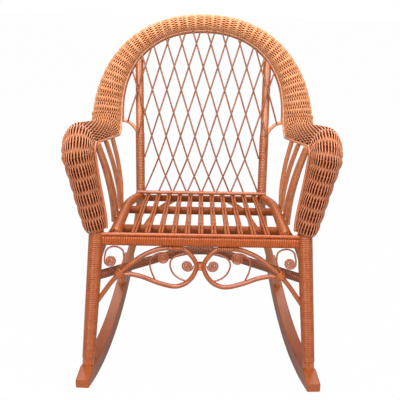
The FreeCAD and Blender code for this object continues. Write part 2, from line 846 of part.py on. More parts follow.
def make_bracket(leg_cover, rail_cover):
    """Bent reed under the seat, from a front leg to the side rail."""
    foot_x = leg_seat_x + (leg_foot_x - leg_seat_x) * (rail_middle_z - bracket_leg_z) / (rail_middle_z - rocker_height)
    foot = Vector(foot_x, front_leg_y, bracket_leg_z)
    rail_y = front_leg_y + bracket_rail_depth
    top = Vector(side_x_at(rail_y), rail_y, slat_z(rail_y) + side_rail_above_slats)
    along_share, rise_share = bracket_knee_shares
    knee = Vector(
        foot.x + (top.x - foot.x) * along_share,
        foot.y + (top.y - foot.y) * along_share,
        foot.z + (top.z - foot.z) * rise_share,
    )
    return trimmed(rod([foot, knee, top], bracket_radius), leg_cover, rail_cover)


def make_back_brace(post, back_rail):
    """Bent reed under the back of the seat, from a rear leg to the back rail."""
    foot, knee, _, _ = post_axis()
    share = (knee.z - back_brace_leg_z) / (knee.z - foot.z)
    start = between(knee, foot, share)
    top = Vector(back_brace_top_x, post_seat_y, back_rail_z())
    out_share, rise_share = back_brace_knee_shares
    middle = Vector(
        start.x + (top.x - start.x) * out_share,
        start.y + (top.y - start.y) * out_share,
        start.z + (top.z - start.z) * rise_share,
    )
    return trimmed(rod([start, middle, top], back_brace_radius), post, back_rail)


def make_bow(leg_covers):
    """Bow stretcher from leg to leg, bent back under the seat."""
    lean_x = leg_seat_x + (leg_foot_x - leg_seat_x) * (rail_middle_z - bow_z) / (rail_middle_z - rocker_height)
    left = [Vector(lean_x, front_leg_y, bow_z), Vector(bow_flat_half, front_leg_y + bow_depth, bow_z)]
    right = [Vector(-point.x, point.y, point.z) for point in left[::-1]]
    return trimmed(rod(left + right, bow_radius), *leg_covers)


# Lattice


def rim_limit(z):
    """How far from the middle a strand may reach under the rim at a height."""
    first, last = math.radians(arch_probe_deg), math.pi / 2
    margin = rim_radius + strand_radius + touch_gap
    if z >= rim_point(arch_station(last, arch_forward())).z - margin:
        return 0.0
    while last - first > math.radians(arch_probe_deg) / post_height:
        middle = (first + last) / 2
        first, last = (middle, last) if rim_point(arch_station(middle, arch_forward())).z < z else (first, middle)
    station = arch_station(first, arch_forward())
    return rim_point(station).x - margin / abs(station["across"].x)


def brace_height(reach):
    """Height of the shoulder brace at a distance from the middle, and of its foot further in."""
    places = brace_places()
    for (first_x, first_z), (second_x, second_z) in zip(places, places[1:]):
        if first_x <= reach <= second_x:
            return first_z + (second_z - first_z) * (reach - first_x) / (second_x - first_x)
    return places[0][1] if reach < places[0][0] else places[-1][1]


def longest_stretch(heights, allowed):
    """The longest unbroken stretch of heights that are allowed."""
    best, current = [], []
    for z in heights:
        current = current + [z] if allowed(z) else []
        best = current if len(current) > len(best) else best
    return best


def crossings_below(height):
    """How many strands a strand has crossed at a height above its lowest crossing."""
    bend = lattice_low_rows * lattice_low_rise
    if height < bend:
        return height / lattice_low_rise
    return lattice_low_rows + (height - bend) / lattice_rise


def make_strands(direction, forward):
    """One family of the lattice, leaning to one side, each strand cut at a post, a shoulder brace or the rim."""
    _, rail_z = lattice_rail_axis()
    foot_z = rail_z + lattice_rail_radius + touch_gap
    cross_z = foot_z - lattice_foot_drop
    bend_z = cross_z + lattice_low_rows * lattice_low_rise
    top_z = rim_point(arch_station(math.pi / 2, arch_forward())).z
    heights = [foot_z + lattice_probe * step for step in range(int((top_z - foot_z) / lattice_probe))]
    limits = {z: (rim_limit(z), post_x(z) - post_radius * lattice_post_share) for z in heights}
    count = math.ceil(arch_half_width / lattice_pitch + crossings_below(top_z - cross_z) / 2)
    strands = []
    for number in range(-count, count + 1):

        def place(z):
            return lattice_pitch * (number + direction * crossings_below(z - cross_z) / 2)

        def allowed(z):
            reach = abs(place(z))
            rim_reach, post_reach = limits[z]
            return reach <= rim_reach and (reach <= post_reach or z >= brace_height(reach))

        stretch = longest_stretch(heights, allowed)
        inner = min([abs(place(z)) - limits[z][1] for z in stretch], default=0.0)
        if inner < -lattice_pitch / 2 and stretch[-1] - stretch[0] > lattice_rise:
            bends = [bend_z] if stretch[0] < bend_z < stretch[-1] else []
            points = [back_point(place(z), z, forward) for z in [stretch[0]] + bends + [stretch[-1]]]
            strands.append(rod(points, strand_radius))
    return strands


# Scrollwork


def skirt_axes():
    """The scrollwork's plane follows the front legs: its top middle and its upward direction."""
    foot, bend, _ = leg_axis()
    up = unit(Vector(0, bend.y - foot.y, bend.z - foot.z))
    return Vector(0, front_leg_y, rail_bottom_z), up


def skirt_point(x, drop):
    middle, up = skirt_axes()
    return middle + Vector(x, 0, 0) - up * drop


def shared_point(shares):
    return skirt_point(shares[0] * leg_seat_x, shares[1] * skirt_drop)


def rosette_arcs(centre, entry, turning):
    """A flat coil of half circles. It starts at an entry direction and winds inwards."""
    _, up = skirt_axes()
    side = Vector(1, 0, 0)
    outward = side * math.cos(entry) + up * math.sin(entry)
    onward = (up * math.cos(entry) - side * math.sin(entry)) * turning
    radius = rosette_radius - curl_radius
    start = centre + outward * radius
    edges = []
    for half in range(rosette_halves):
        away = outward if half % 2 == 0 else outward * -1
        ahead = onward if half % 2 == 0 else onward * -1
        middle = start - away * radius
        end = middle - away * radius
        edges.append(Part.Arc(start, middle + ahead * radius, end).toShape())
        start = end
        radius -= rosette_pitch / 2
    return edges


def rosette_gap(edges):
    """Least gap between the turns of a coil, measured on points."""
    turns = [[edge.valueAt(edge.FirstParameter + (edge.LastParameter - edge.FirstParameter) * step / section_steps)
              for step in range(1, section_steps)] for edge in edges]
    apart = [first.distanceToPoint(second) for outer, inner in zip(turns, turns[2:]) for first in outer for second in inner]
    return min(apart) - 2 * curl_radius


def coil(edges):
    wire = Part.Wire(edges)
    first = edges[0]
    return swept(wire, first.valueAt(first.FirstParameter), first.tangentAt(first.FirstParameter), curl_radius)


def curl_with_rosette(stem_shares, rosette_share, entry, turning):
    """A bent stem that runs into a coil."""
    edges = rosette_arcs(shared_point(rosette_share), entry, turning)
    join = edges[0].valueAt(edges[0].FirstParameter)
    onward = edges[0].tangentAt(edges[0].FirstParameter)
    lead = join - onward * rosette_radius / 2
    stem = bent_wire([shared_point(shares) for shares in stem_shares] + [lead, join])
    return coil(stem.Edges + edges)


def scroll_points():
    """Lower reed: from the arch, down and in along the bottom, up past its mirror image to the rail."""
    waist = skirt_point(reed_radius + touch_gap, scroll_waist_drop_share * skirt_drop)
    end = skirt_point(rail_tie_from_share * leg_seat_x, rail_tie_radius + touch_gap)
    before = [shared_point(shares) for shares in scroll_shares]
    return before + [waist] + [shared_point(shares) for shares in scroll_rise_shares] + [end]


def arch_points():
    """Upper reed: from the front leg up to the rail."""
    end = skirt_point(rail_tie_to_share * leg_seat_x, rail_tie_radius + touch_gap)
    return [shared_point(shares) for shares in skirt_arch_shares] + [end]


def make_skirt(leg_cover):
    """The left half of the scrollwork: upper reed, lower reed, curls and ties."""
    tie = bar(
        skirt_point(rail_tie_from_share * leg_seat_x, rail_tie_radius + touch_gap),
        skirt_point(rail_tie_to_share * leg_seat_x, rail_tie_radius + touch_gap),
        rail_tie_radius,
    )
    upper = trimmed(rod(arch_points(), reed_radius), leg_cover, tie)
    lower = trimmed(rod(scroll_points(), reed_radius), upper, tie)
    inner = trimmed(rod([shared_point(shares) for shares in inner_curl_shares], curl_radius), lower)
    waist_x = reed_radius + touch_gap + reed_radius + rosette_offset + rosette_radius
    rosette = rosette_arcs(skirt_point(waist_x, scroll_waist_drop_share * skirt_drop), math.pi, 1)
    print("least gap in a rosette:", round(rosette_gap(rosette), 2))
    outer = trimmed(curl_with_rosette(outer_curl_shares, outer_rosette_share, math.pi / 2, 1), lower)
    corner = trimmed(curl_with_rosette(corner_curl_shares, corner_rosette_share, 0.0, -1), upper)
    side_tie_middle = shared_point(side_tie_share)
    reach = reed_radius + reed_tie_wall
    lean = unit(arch_points()[2] - arch_points()[1])
    collar = bar(side_tie_middle - lean * reach, side_tie_middle + lean * reach, reed_radius + reach)
    collar = trimmed(collar, upper, lower, corner)
    return upper, lower, [inner, coil(rosette), outer, corner], tie, collar


def make_waist_tie(lowers):
    """Binding round the two lower reeds where they touch in the middle."""
    middle, up = skirt_axes()
    waist = skirt_point(0, scroll_waist_drop_share * skirt_drop)
    around = reed_radius + reed_tie_wall
    foot = waist - up * reed_tie_length / 2
    head = waist + up * reed_tie_length / 2
    side = Vector(reed_radius + touch_gap, 0, 0)
    sleeve = bar(foot - side, head - side, around).fuse(bar(foot + side, head + side, around))
    return trimmed(sleeve.removeSplitter(), *lowers)


# Screws


def make_screw(axis):
    """A screw from under the rocker, up through a leg's tenon."""
    foot, above = axis[0], axis[1]
    up = unit(above - foot)
    head_start = foot - up * (rocker_height - screw_head_height)
    shank = bar(head_start, head_start + up * screw_length, screw_radius)
    head = bar(head_start, head_start + up * screw_head_height, screw_head_radius)
    return shank.fuse(head).removeSplitter()


def screw_hole(axis):
    """Room for a screw, with its head's way in from below."""
    foot, above = axis[0], axis[1]
    up = unit(above - foot)
    head_start = foot - up * (rocker_height - screw_head_height)
    shank = bar(head_start, head_start + up * (screw_length + tenon_clearance), screw_radius + tenon_clearance)
    below = head_start - up * (screw_head_height + overrun)
    head = bar(below, head_start + up * (screw_head_height + tenon_clearance), screw_head_radius + tenon_clearance)
    return shank.fuse(head)


def build():
    os.makedirs("parts", exist_ok=True)
    leg_line, post_line = leg_axis(), post_axis()
    board = make_rocker()
    hoop = make_hoop()
    leg = make_pole(leg_line, leg_radius, board, leg_bend_reach).cut(screw_hole(leg_line))
    post = make_pole(post_line, post_radius, board, post_bend_reach).cut(screw_hole(post_line))
    rim_rod = rod([rim_point(station) for station in whole_roll()], rim_radius)
    post = trimmed(post, past_hoop(), hoop, rim_rod)
    for line in (leg_line, post_line):
        board = board.cut(tenon(line, tenon_radius + tenon_clearance, tenon_length + tenon_clearance))
        board = board.cut(screw_hole(line))
    leg_wrap, post_wrap = make_leg_wrap(), make_post_wrap(post)
    leg_cover = leg_envelope()
    leg_covers = (leg_cover, mirrored(leg_cover))
    post_covers = (post, post_envelope())
    both_posts = post_covers + tuple(mirrored(cover) for cover in post_covers)
    rail_core, rail_wrap, front_cover = make_front_rail()
    side_rail, side_wrap = make_side_rail(post_covers + (front_cover,))
    rail_cover = rod(side_rail_points(), side_wrap_radius)
    rail_covers = (rail_cover, mirrored(rail_cover))
    back_rail = make_back_rail(both_posts + rail_covers)

    save_pair("rocker", board)
    save_pair("front_leg", leg)
    save_pair("front_leg_wrap", leg_wrap)
    save_pair("back_post", post)
    save_pair("back_post_wrap", post_wrap)
    save("rocker_screws", *[shape for line in (leg_line, post_line)
                            for shape in (make_screw(line), mirrored(make_screw(line)))])

    save("front_rail", trimmed(rail_core, *leg_covers))
    save("front_rail_wrap", trimmed(rail_wrap, *leg_covers))
    nosing_y = front_leg_y - front_rail_depth / 2 + nosing_radius
    nosing_end = Vector(leg_seat_x, nosing_y, rail_top_z + nosing_radius)
    nosing = bar(Vector(-nosing_end.x, nosing_end.y, nosing_end.z), nosing_end, nosing_radius)
    save("front_nosing", trimmed(nosing, *leg_covers, leg, mirrored(leg)))
    save_pair("side_rail", side_rail)
    save_pair("side_rail_wrap", side_wrap)
    save("front_cross_rail", make_cross_rail(front_cross_depth, rail_covers))
    save("rear_cross_rail", make_cross_rail(rear_cross_depth, rail_covers))
    save("back_rail", back_rail)
    for number, pair in enumerate(make_slats(), start=1):
        save("seat_slat_%02d" % number, *pair)
    save("slat_ties", *make_slat_ties())

    lattice_y, lattice_z = lattice_rail_axis()
    lattice_end = Vector(post_seat_x + post_radius, lattice_y, lattice_z)
    lattice_rail = bar(Vector(-lattice_end.x, lattice_y, lattice_z), lattice_end, lattice_rail_radius)
    save("lattice_rail", trimmed(lattice_rail, *rail_covers))
    back_layer = post_wrap_radius + strand_radius + touch_gap
    front_layer = back_layer + 2 * strand_radius + touch_gap
    save("lattice_left_strands", *make_strands(1, back_layer))
    save("lattice_right_strands", *make_strands(-1, front_layer))

    save("back_hoop", hoop)
    half = arch_half_stations()
    save("back_roll", channel([flipped(station) for station in half] + half[-2::-1], False))
    arm_roll = channel(banded_arm(), True)
    save_pair("arm_roll", arm_roll)
    save("inner_rim", rim_rod)
    save("outer_rim", rod([lip_rim_point(station) for station in whole_roll()], lip_rim_radius))
    save_pair("arm_rail", make_arm_rail(leg, arm_roll))
    save_pair("arm_spindles", *make_spindles(rim_rod, rail_cover))
    save_pair("shoulder_brace", make_shoulder_brace(post_covers + (hoop,)))

    save("bow_stretcher", make_bow(leg_covers))
    save_pair("seat_bracket", make_bracket(leg_cover, rail_cover))
    save_pair("back_brace", make_back_brace(post, back_rail))
    upper, lower, curls, tie, collar = make_skirt(leg_cover)
    save_pair("skirt_arch", upper)
    save_pair("skirt_scroll", lower)
    save_pair("skirt_curls", *curls)
    waist = make_waist_tie((lower, mirrored(lower)))
    save("skirt_ties", waist, tie, mirrored(tie), collar, mirrored(collar))


build()
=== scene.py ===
import math

import bpy
import numpy as np
from mathutils import Matrix, Vector


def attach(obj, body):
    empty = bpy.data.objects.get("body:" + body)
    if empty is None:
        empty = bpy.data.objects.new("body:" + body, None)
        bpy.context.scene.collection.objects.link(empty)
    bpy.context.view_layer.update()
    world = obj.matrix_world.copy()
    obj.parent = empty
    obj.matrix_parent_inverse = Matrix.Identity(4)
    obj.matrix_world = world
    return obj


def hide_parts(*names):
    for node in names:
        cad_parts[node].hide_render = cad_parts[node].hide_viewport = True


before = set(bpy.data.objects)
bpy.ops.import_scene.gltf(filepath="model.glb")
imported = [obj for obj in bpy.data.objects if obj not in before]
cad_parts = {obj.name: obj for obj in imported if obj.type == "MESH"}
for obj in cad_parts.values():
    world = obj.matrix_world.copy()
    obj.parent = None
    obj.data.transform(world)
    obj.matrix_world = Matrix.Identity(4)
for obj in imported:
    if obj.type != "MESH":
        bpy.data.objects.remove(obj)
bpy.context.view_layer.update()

# Wicker rocking chair, in metres. It faces -Y. Left pieces are the sitter's left, at +X.

# Stance
front_leg_y = -0.292
seat_front_z = 0.422
seat_depth = 0.446
seat_drop = 0.0325
back_tilt = math.radians(13.6)
leg_foot = np.array((0.2776, -0.309, 0.0712))
leg_seat = np.array((0.251, -0.292, 0.401))
leg_bare_length = 0.020
leg_wrap_foot_radius = 0.016
leg_wrap_top_radius = 0.0185
post_seat_x = 0.184
post_top_x = 0.193
post_bend_z = 0.366
post_top_z = 0.780
post_bend_reach = 0.029
post_wrap_length = 0.176
post_wrap_radius = 0.0136
front_rail_height = 0.026
front_rail_depth = 0.024
front_rail_round = 0.008
nosing_radius = 0.004
slat_radius = 0.0033
side_rail_x = 0.206
side_rail_bow = 0.004
side_rail_below_slats = 0.004
side_rail_bow_shares = ((0.40, 0.75), (0.74, 1.0))  # share of the depth, share of the bow
side_wrap_radius = 0.012
side_wrap_front_radius = 0.015  # wound twice where the arm's feet are tied on
bow_end_x = 0.2581
bow_flat_half = 0.038
bow_depth = 0.186
bow_z = 0.3045
bow_radius = 0.0115
touch_gap = 0.0003
bend_share = 0.45

# Woven roll
roll_foot_depth = 0.002
roll_foot_z = 0.424
arm_front_z = 0.604
arm_front_depth = 0.022
arm_x = 0.290
arm_half_width = 0.040
arm_height = 0.054
arm_bend_radius = 0.018
arm_slope = math.radians(8.8)
shoulder_radius = 0.022
arch_spring_z = 0.600
arch_half_width = 0.288
arch_top_z = 0.8885
arch_fullness = 2.2
arch_shoulder_half_width = 0.044
arch_top_half_width = 0.0225
arch_shoulder_height = 0.040
arch_top_height = 0.030
lip_angle = math.radians(40)
arm_edge = math.radians(11)
hoop_radius = 0.006
rim_radius = 0.0034
rim_out = 0.0015
arm_front_shares = (  # share of the height, of the arm's half width, of its height
    (0.0, 0.63, 0.48),
    (0.045, 0.68, 0.52),
    (0.13, 0.75, 0.58),
    (0.32, 0.81, 0.68),
    (0.56, 0.85, 0.80),
    (0.80, 0.92, 0.92),
    (1.0, 1.0, 1.0),
)

# Weave
station_step = 0.0036
arch_station_step = 0.0022
weaver_pitch_arm = 0.00335
weaver_pitch_top = 0.0029
weaver_half_width = 0.0016
weaver_half_height = 0.0014
weave_swing = 0.0024
arm_recess_shares = (0.05, -0.60)  # of the swing: where the painted shade on a dipping weaver starts, where it is darkest
arch_recess_shares = (-0.10, -0.85)  # the same on the arch
weaver_sides = 6  # flat faces round a weaver
flank_depth = 0.42  # how dark the painted shade on the weavers' flanks is, as a recess
weave_inset = 0.0039
stake_radius = 0.0013
stake_depth = 0.8  # how dark the painted shade on the stakes is, as a recess
weave_line_share = 0.6  # of the roll's height, where the distance along it is measured
shortest_run = 4  # a stretch of weaver has more stations than this
first_band = 0.5  # bands of the weave run from stake to stake, and the first one is half hidden by the foot
front_bands = 5.5
bend_bands = 3
run_bands = 13
shoulder_bands = 4
arch_pairs = 18  # pairs of stakes in half of the arch
stake_pair_share = 0.34  # of the distance from pair to pair, how far apart the two stakes of a pair are
rib_flatness = 1.5  # how level the weavers lie between the pairs, 1 for an even swing
arch_rib_rise = 0.0022  # how far the weave swells between the pairs
pale_bands = (5.0, 10.0, 34.0, 54.0)  # from the arm's bend to near the arch's top
pale_shares = (0.0, 0.32, 0.75, 1.0)  # how far painted light and sheen pale the paint at each of these bands
run_gather_share = 0.27  # how much the bands along the arm gather towards its back
lining_inset = 0.0086
lining_wave = 0.0014
lining_rest = 1.5  # how deep the lining's waves lie, in heights of a wave
border_depth = 0.45  # how dark the painted shade at the edge of the lining is, as a recess

# Bindings
binding_pitch = 0.0048
rail_binding_pitch = 0.0055
binding_groove = 0.0010
ridge_flatness = 2.6  # 2 for a round ridge, more for flat cane
binding_steps = 8

# Lattice
strand_radius = 0.0024
lattice_rise = 0.067
lattice_low_rise = 0.050
lattice_low_rows = 2  # crossings below the strands' bend
lattice_foot_drop = 0.012
lattice_step = 0.004
strand_foot_reach = 0.010  # how far a strand's foot goes on, into the rod that the lattice stands on
strand_tie_bend = 0.060  # height over which the outermost strand bends back to the shoulder brace

# Scrollwork ties
skirt_drop = 0.146
reed_radius = 0.0058
reed_tie_wall = 0.0018
reed_tie_length = 0.014
rail_tie_radius = 0.0062
rail_tie_shares = (0.165, 0.325)
side_tie_share = (0.772, 0.500)
side_tie_lean_shares = ((0.865, 0.664), (0.789, 0.514))
waist_drop_share = 0.349
rosette_shares = ((0.360, 0.214), (0.872, 0.282))
rosette_radius = 0.015
rosette_offset = 0.003
coil_end_radius = 0.0045
coil_end_depth = 0.0016

# Mesh fineness: mostly points round a section or along a stretch
front_stations = 40
bend_stations = 24
run_stations = 40
shoulder_stations = 24
arch_stations = 360
arch_probe = math.radians(0.5)
corner_points = 13
fan_points = 90
stake_points = 26
stake_sides = 6
strand_sides = 8
lining_points = 64
leg_turn_points = 28
post_turn_points = 22
rod_turn_points = 20
tie_turn_points = 16
rail_corner_points = 7
waist_corner_points = 9
ball_rows = 9
ball_sides = 16
ball_end_deg = 80
steep_limit = 0.5  # sine of the angle from upright, below which a path counts as steep

# Paint
gloss_coat = 0.6
coat_roughness = 0.16
coat_end = 0.5  # depth of painted shade that hides the coat
# Specular of the paint outside and inside its painted shade
unshaded_specular = 0.5
shaded_specular = 0.05
noise_roughness = 0.62
patch_detail = 6.0
patch_start = 0.32
patch_end = 0.66
smoother_step = 0.08
rougher_step = 0.12
ripple_detail = 3.0
ripple_fineness = 6
ripple_height = 0.001
flank_start = 0.75  # upward part of the normal where a rod's painted shade starts
flank_end = 0.25  # the same where the painted shade is full

# Studio
floor_reach = 40.0
floor_grey = 0.4
floor_roughness = 0.9
floor_white_share = 0.985  # of what is seen of the floor, how much is plain white
ambient_strength = 0.20
lamp_aim = (0, 0, 0.5)
back_lamp_aim = (0, 0, 0.6)
overhead_place = (0.0, -0.9, 2.9)
overhead_size = 2.4
overhead_watts = 96.0
front_left_place = (-1.0, -2.8, 1.7)
front_left_watts = 60.0
front_right_place = (1.5, -2.6, 1.7)
front_right_watts = 40.0
front_lamp_size = 1.9
back_top_place = (0.0, 1.5, 2.5)
back_top_size = 2.2
back_top_watts = 46.0

# Camera
camera_place = (-0.003, -1.78, 0.956)
camera_pitch_deg = 16.9
camera_roll_deg = 1.0
photo_focal_px = 660.0
photo_width_px = 400.0
sensor_width_mm = 36.0

# Worked out from the sizes above
seat_back_z = seat_front_z - seat_drop
seat_slope = seat_drop / seat_depth
post_seat_y = front_leg_y + seat_depth
rail_top_z = seat_front_z - 2 * nosing_radius
rail_middle_z = rail_top_z - front_rail_height / 2
rail_bottom_z = rail_top_z - front_rail_height
back_normal = np.array((0.0, -math.cos(back_tilt), math.sin(back_tilt)))
flip_x = np.array((-1.0, 1.0, 1.0))
rim_back = math.sqrt((rim_radius + touch_gap) ** 2 - rim_out**2)
arch_forward = hoop_radius + touch_gap + rim_radius + rim_back
bend_start_band = first_band + front_bands
run_start_band = bend_start_band + bend_bands
shoulder_start_band = run_start_band + run_bands
arch_start_band = shoulder_start_band + shoulder_bands
arm_front_y = front_leg_y + arm_front_depth

# Columns of a row that describes one station of the woven roll
spine_part = slice(0, 3)
across_part = slice(3, 6)
normal_part = slice(6, 9)
half_column = 9
height_column = 10
edge_column = 11
band_column = 12


# Meshes


class Builder:
    """Collects the points and faces of one mesh."""

    def __init__(self):
        self.points = []
        self.faces = []
        self.slots = []
        self.depths = []
        self.pales = []

    def grid(self, rows, around, slot=0, caps=False, depths=0.0, pales=0.0):
        """Rows of points joined by quads, each closed on itself or not.

        Depths are 0 on top and 1 in a recess, where they darken the paint as painted shade. Pales are 0 for
        the plain colour and 1 for the palest painted light and sheen.
        """
        rows = np.asarray(rows, dtype=float)
        count, width = rows.shape[:2]
        base = len(self.points)
        self.points.extend(rows.reshape(-1, 3).tolist())
        self.depths.extend(np.broadcast_to(depths, (count, width)).ravel().tolist())
        self.pales.extend(np.broadcast_to(pales, (count, width)).ravel().tolist())
        columns = width if around else width - 1
        for row in range(count - 1):
            low = base + row * width
            high = low + width
            for column in range(columns):
                after = (column + 1) % width
                self.faces.append((low + column, low + after, high + after, high + column))
        self.slots.extend([slot] * ((count - 1) * columns))
        if caps:
            last = base + (count - 1) * width
            self.faces.append(tuple(base + column for column in reversed(range(width))))
            self.faces.append(tuple(last + column for column in range(width)))
            self.slots.extend((slot, slot))

    def mirrored(self):
        """The same mesh on the other side of the chair."""
        other = Builder()
        other.points = [(-x, y, z) for x, y, z in self.points]
        other.faces = [face[::-1] for face in self.faces]
        other.slots = list(self.slots)
        other.depths = list(self.depths)
        other.pales = list(self.pales)
        return other

    def take(self, other):
        """Adds all of another mesh."""
        base = len(self.points)
        self.points.extend(other.points)
        self.faces.extend(tuple(base + corner for corner in face) for face in other.faces)
        self.slots.extend(other.slots)
        self.depths.extend(other.depths)
        self.pales.extend(other.pales)

    def make(self, name, slot, materials, replaced=()):
        """The piece of the scene, which rides on the chair's one body."""
        mesh = bpy.data.meshes.new(name)
        mesh.from_pydata(self.points, [], self.faces)
        for material in materials:
            mesh.materials.append(material)
        mesh.polygons.foreach_set("material_index", self.slots)
        mesh.polygons.foreach_set("use_smooth", [True] * len(self.faces))
        mesh.attributes.new("recess", "FLOAT", "POINT").data.foreach_set("value", self.depths)
        mesh.attributes.new("pale", "FLOAT", "POINT").data.foreach_set("value", self.pales)
        mesh.update()
        piece = bpy.data.objects.new(name, mesh)
        bpy.context.scene.collection.objects.link(piece)
        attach(piece, "root")
        if replaced:
            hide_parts(*replaced)


def make_pair(builder, name, slot, materials, replaced=None):
    """A piece of the left side and its mirror image."""
    builder.make("left_" + name, slot, materials, ("left_" + replaced,) if replaced else ())
    builder.mirrored().make("right_" + name, slot, materials, ("right_" + replaced,) if replaced else ())


def unit_rows(rows):
    return rows / np.linalg.norm(rows, axis=-1, keepdims=True)


def directions(path):
    return unit_rows(np.gradient(path, axis=0))


def resampled(path, step):
    """Points an even step apart along a path."""
    path = np.asarray(path, dtype=float)
    lengths = np.concatenate(([0.0], np.cumsum(np.linalg.norm(np.diff(path, axis=0), axis=1))))
    places = np.linspace(0, lengths[-1], max(2, int(round(lengths[-1] / step)) + 1))
    return np.stack([np.interp(places, lengths, path[:, axis]) for axis in range(3)], axis=1)


def bent_path(points, step):
    """Straight runs with rounded corners."""
    points = [np.array(point, dtype=float) for point in points]
    path = [points[0]]
    for before, corner, after in zip(points, points[1:], points[2:]):
        into, out = corner - before, after - corner
        limit = bend_share * min(np.linalg.norm(into), np.linalg.norm(out))
        enter = corner - into / np.linalg.norm(into) * limit
        leave = corner + out / np.linalg.norm(out) * limit
        for share in np.linspace(0, 1, corner_points):
            path.append((1 - share) ** 2 * enter + 2 * share * (1 - share) * corner + share**2 * leave)
    path.append(points[-1])
    return resampled(path, step)


def carried_frames(path):
    """Two directions across a path at each of its points, carried along without twist."""
    tangents = directions(path)
    start = np.cross(tangents[0], (0.0, 0.0, 1.0))
    if np.linalg.norm(start) < steep_limit:
        start = np.cross(tangents[0], (1.0, 0.0, 0.0))
    sides = [start / np.linalg.norm(start)]
    for tangent in tangents[1:]:
        side = sides[-1] - tangent * np.dot(sides[-1], tangent)
        sides.append(side / np.linalg.norm(side))
    sides = np.array(sides)
    return sides, np.cross(tangents, sides)


def tube_rows(path, side, other, side_radius, other_radius, count):
    angles = np.linspace(0, 2 * math.pi, count, endpoint=False)
    across = np.cos(angles)[None, :, None] * side[:, None, :] * side_radius
    along = np.sin(angles)[None, :, None] * other[:, None, :] * other_radius
    return path[:, None, :] + across + along


def add_tube(builder, path, radius, count, depth=0.0):
    side, other = carried_frames(path)
    builder.grid(tube_rows(path, side, other, radius, radius, count), True, 0, True, depth)


def round_section(count):
    """Points and outward directions of a circle of radius 1, and how far round each point is."""
    angles = np.linspace(0, 2 * math.pi, count, endpoint=False)
    points = np.stack((np.cos(angles), np.sin(angles)), axis=1)
    return points, points, angles / (2 * math.pi)


def box_section(half_side, half_other, rounding, corner_steps):
    """Points and outward directions of a rounded box, and how far round each point is."""
    points, outward = [], []
    for quarter in range(4):
        sign_side = 1 if quarter in (0, 3) else -1
        sign_other = 1 if quarter in (0, 1) else -1
        centre = np.array((sign_side * (half_side - rounding), sign_other * (half_other - rounding)))
        for share in np.linspace(0, 1, corner_steps):
            angle = (quarter + share) * math.pi / 2
            direction = np.array((math.cos(angle), math.sin(angle)))
            points.append(centre + direction * rounding)
            outward.append(direction)
    points, outward = np.array(points), np.array(outward)
    steps = np.linalg.norm(np.roll(points, -1, axis=0) - points, axis=1)
    return points, outward, np.concatenate(([0.0], np.cumsum(steps)[:-1])) / steps.sum()


def add_wound(builder, path, section, scales, pitch=binding_pitch):
    """A rod wound with cane: rounded ridges that climb round it, one pitch to a turn."""
    points, outward, shares = section
    path = resampled(path, pitch / binding_steps)
    side, other = carried_frames(path)
    length = np.concatenate(([0.0], np.cumsum(np.linalg.norm(np.diff(path, axis=0), axis=1))))
    scale = np.interp(length / length[-1], (0, 1), scales)
    turn = (length[:, None] / pitch + shares[None, :]) % 1.0
    ridge = np.abs(2.0 * turn - 1.0) ** ridge_flatness
    sunk = outward[None, :, :] * ridge[:, :, None] * binding_groove
    flat = points[None, :, :] * scale[:, None, None] - sunk
    rows = path[:, None, :] + flat[..., 0:1] * side[:, None, :] + flat[..., 1:2] * other[:, None, :]
    # How far each point has fallen into a groove sets the painted shade there
    builder.grid(rows, True, 0, True, ridge)


# Paint


class Shading:
    """The nodes of one material, and the few joins that the paints need."""

    def __init__(self, name):
        self.material = bpy.data.materials.new(name)
        self.material.use_nodes = True
        self.nodes, self.links = self.material.node_tree.nodes, self.material.node_tree.links
        self.shader = self.nodes["Principled BSDF"]
        self.place = self.nodes.new("ShaderNodeTexCoord").outputs["Object"]

    def set(self, socket, value):
        """Gives an input a number, a colour or the output of another node."""
        if isinstance(value, tuple):
            socket.default_value = (*value, 1.0)
        elif isinstance(value, float):
            socket.default_value = value
        else:
            self.links.new(value, socket)

    def noise(self, vector, scale, detail):
        noise = self.nodes.new("ShaderNodeTexNoise")
        noise.inputs["Scale"].default_value = scale
        noise.inputs["Detail"].default_value = detail
        noise.inputs["Roughness"].default_value = noise_roughness
        self.links.new(vector, noise.inputs["Vector"])
        return noise.outputs["Fac"]

    def ramp(self, value, start, end, first=0.0, last=1.0):
        """From the first number to the last one as a value goes from start to end."""
        ramp = self.nodes.new("ShaderNodeMapRange")
        ramp.inputs["From Min"].default_value = start
        ramp.inputs["From Max"].default_value = end
        ramp.inputs["To Min"].default_value = first
        ramp.inputs["To Max"].default_value = last
        self.links.new(value, ramp.inputs["Value"])
        return ramp.outputs["Result"]

    def blend(self, amount, first, second):
        """From the first colour to the second as the amount goes from 0 to 1."""
        mix = self.nodes.new("ShaderNodeMix")
        mix.data_type = "RGBA"
        self.links.new(amount, mix.inputs["Factor"])
        self.set(mix.inputs["A"], first)
        self.set(mix.inputs["B"], second)
        return mix.outputs["Result"]

    def attribute(self, name):
        attribute = self.nodes.new("ShaderNodeAttribute")
        attribute.attribute_name = name
        return attribute.outputs["Fac"]

    def part_of(self, vector, axis):
        parts = self.nodes.new("ShaderNodeSeparateXYZ")
        self.links.new(vector, parts.inputs["Vector"])
        return parts.outputs[axis]


plain = (1.0, 1.0, 1.0)


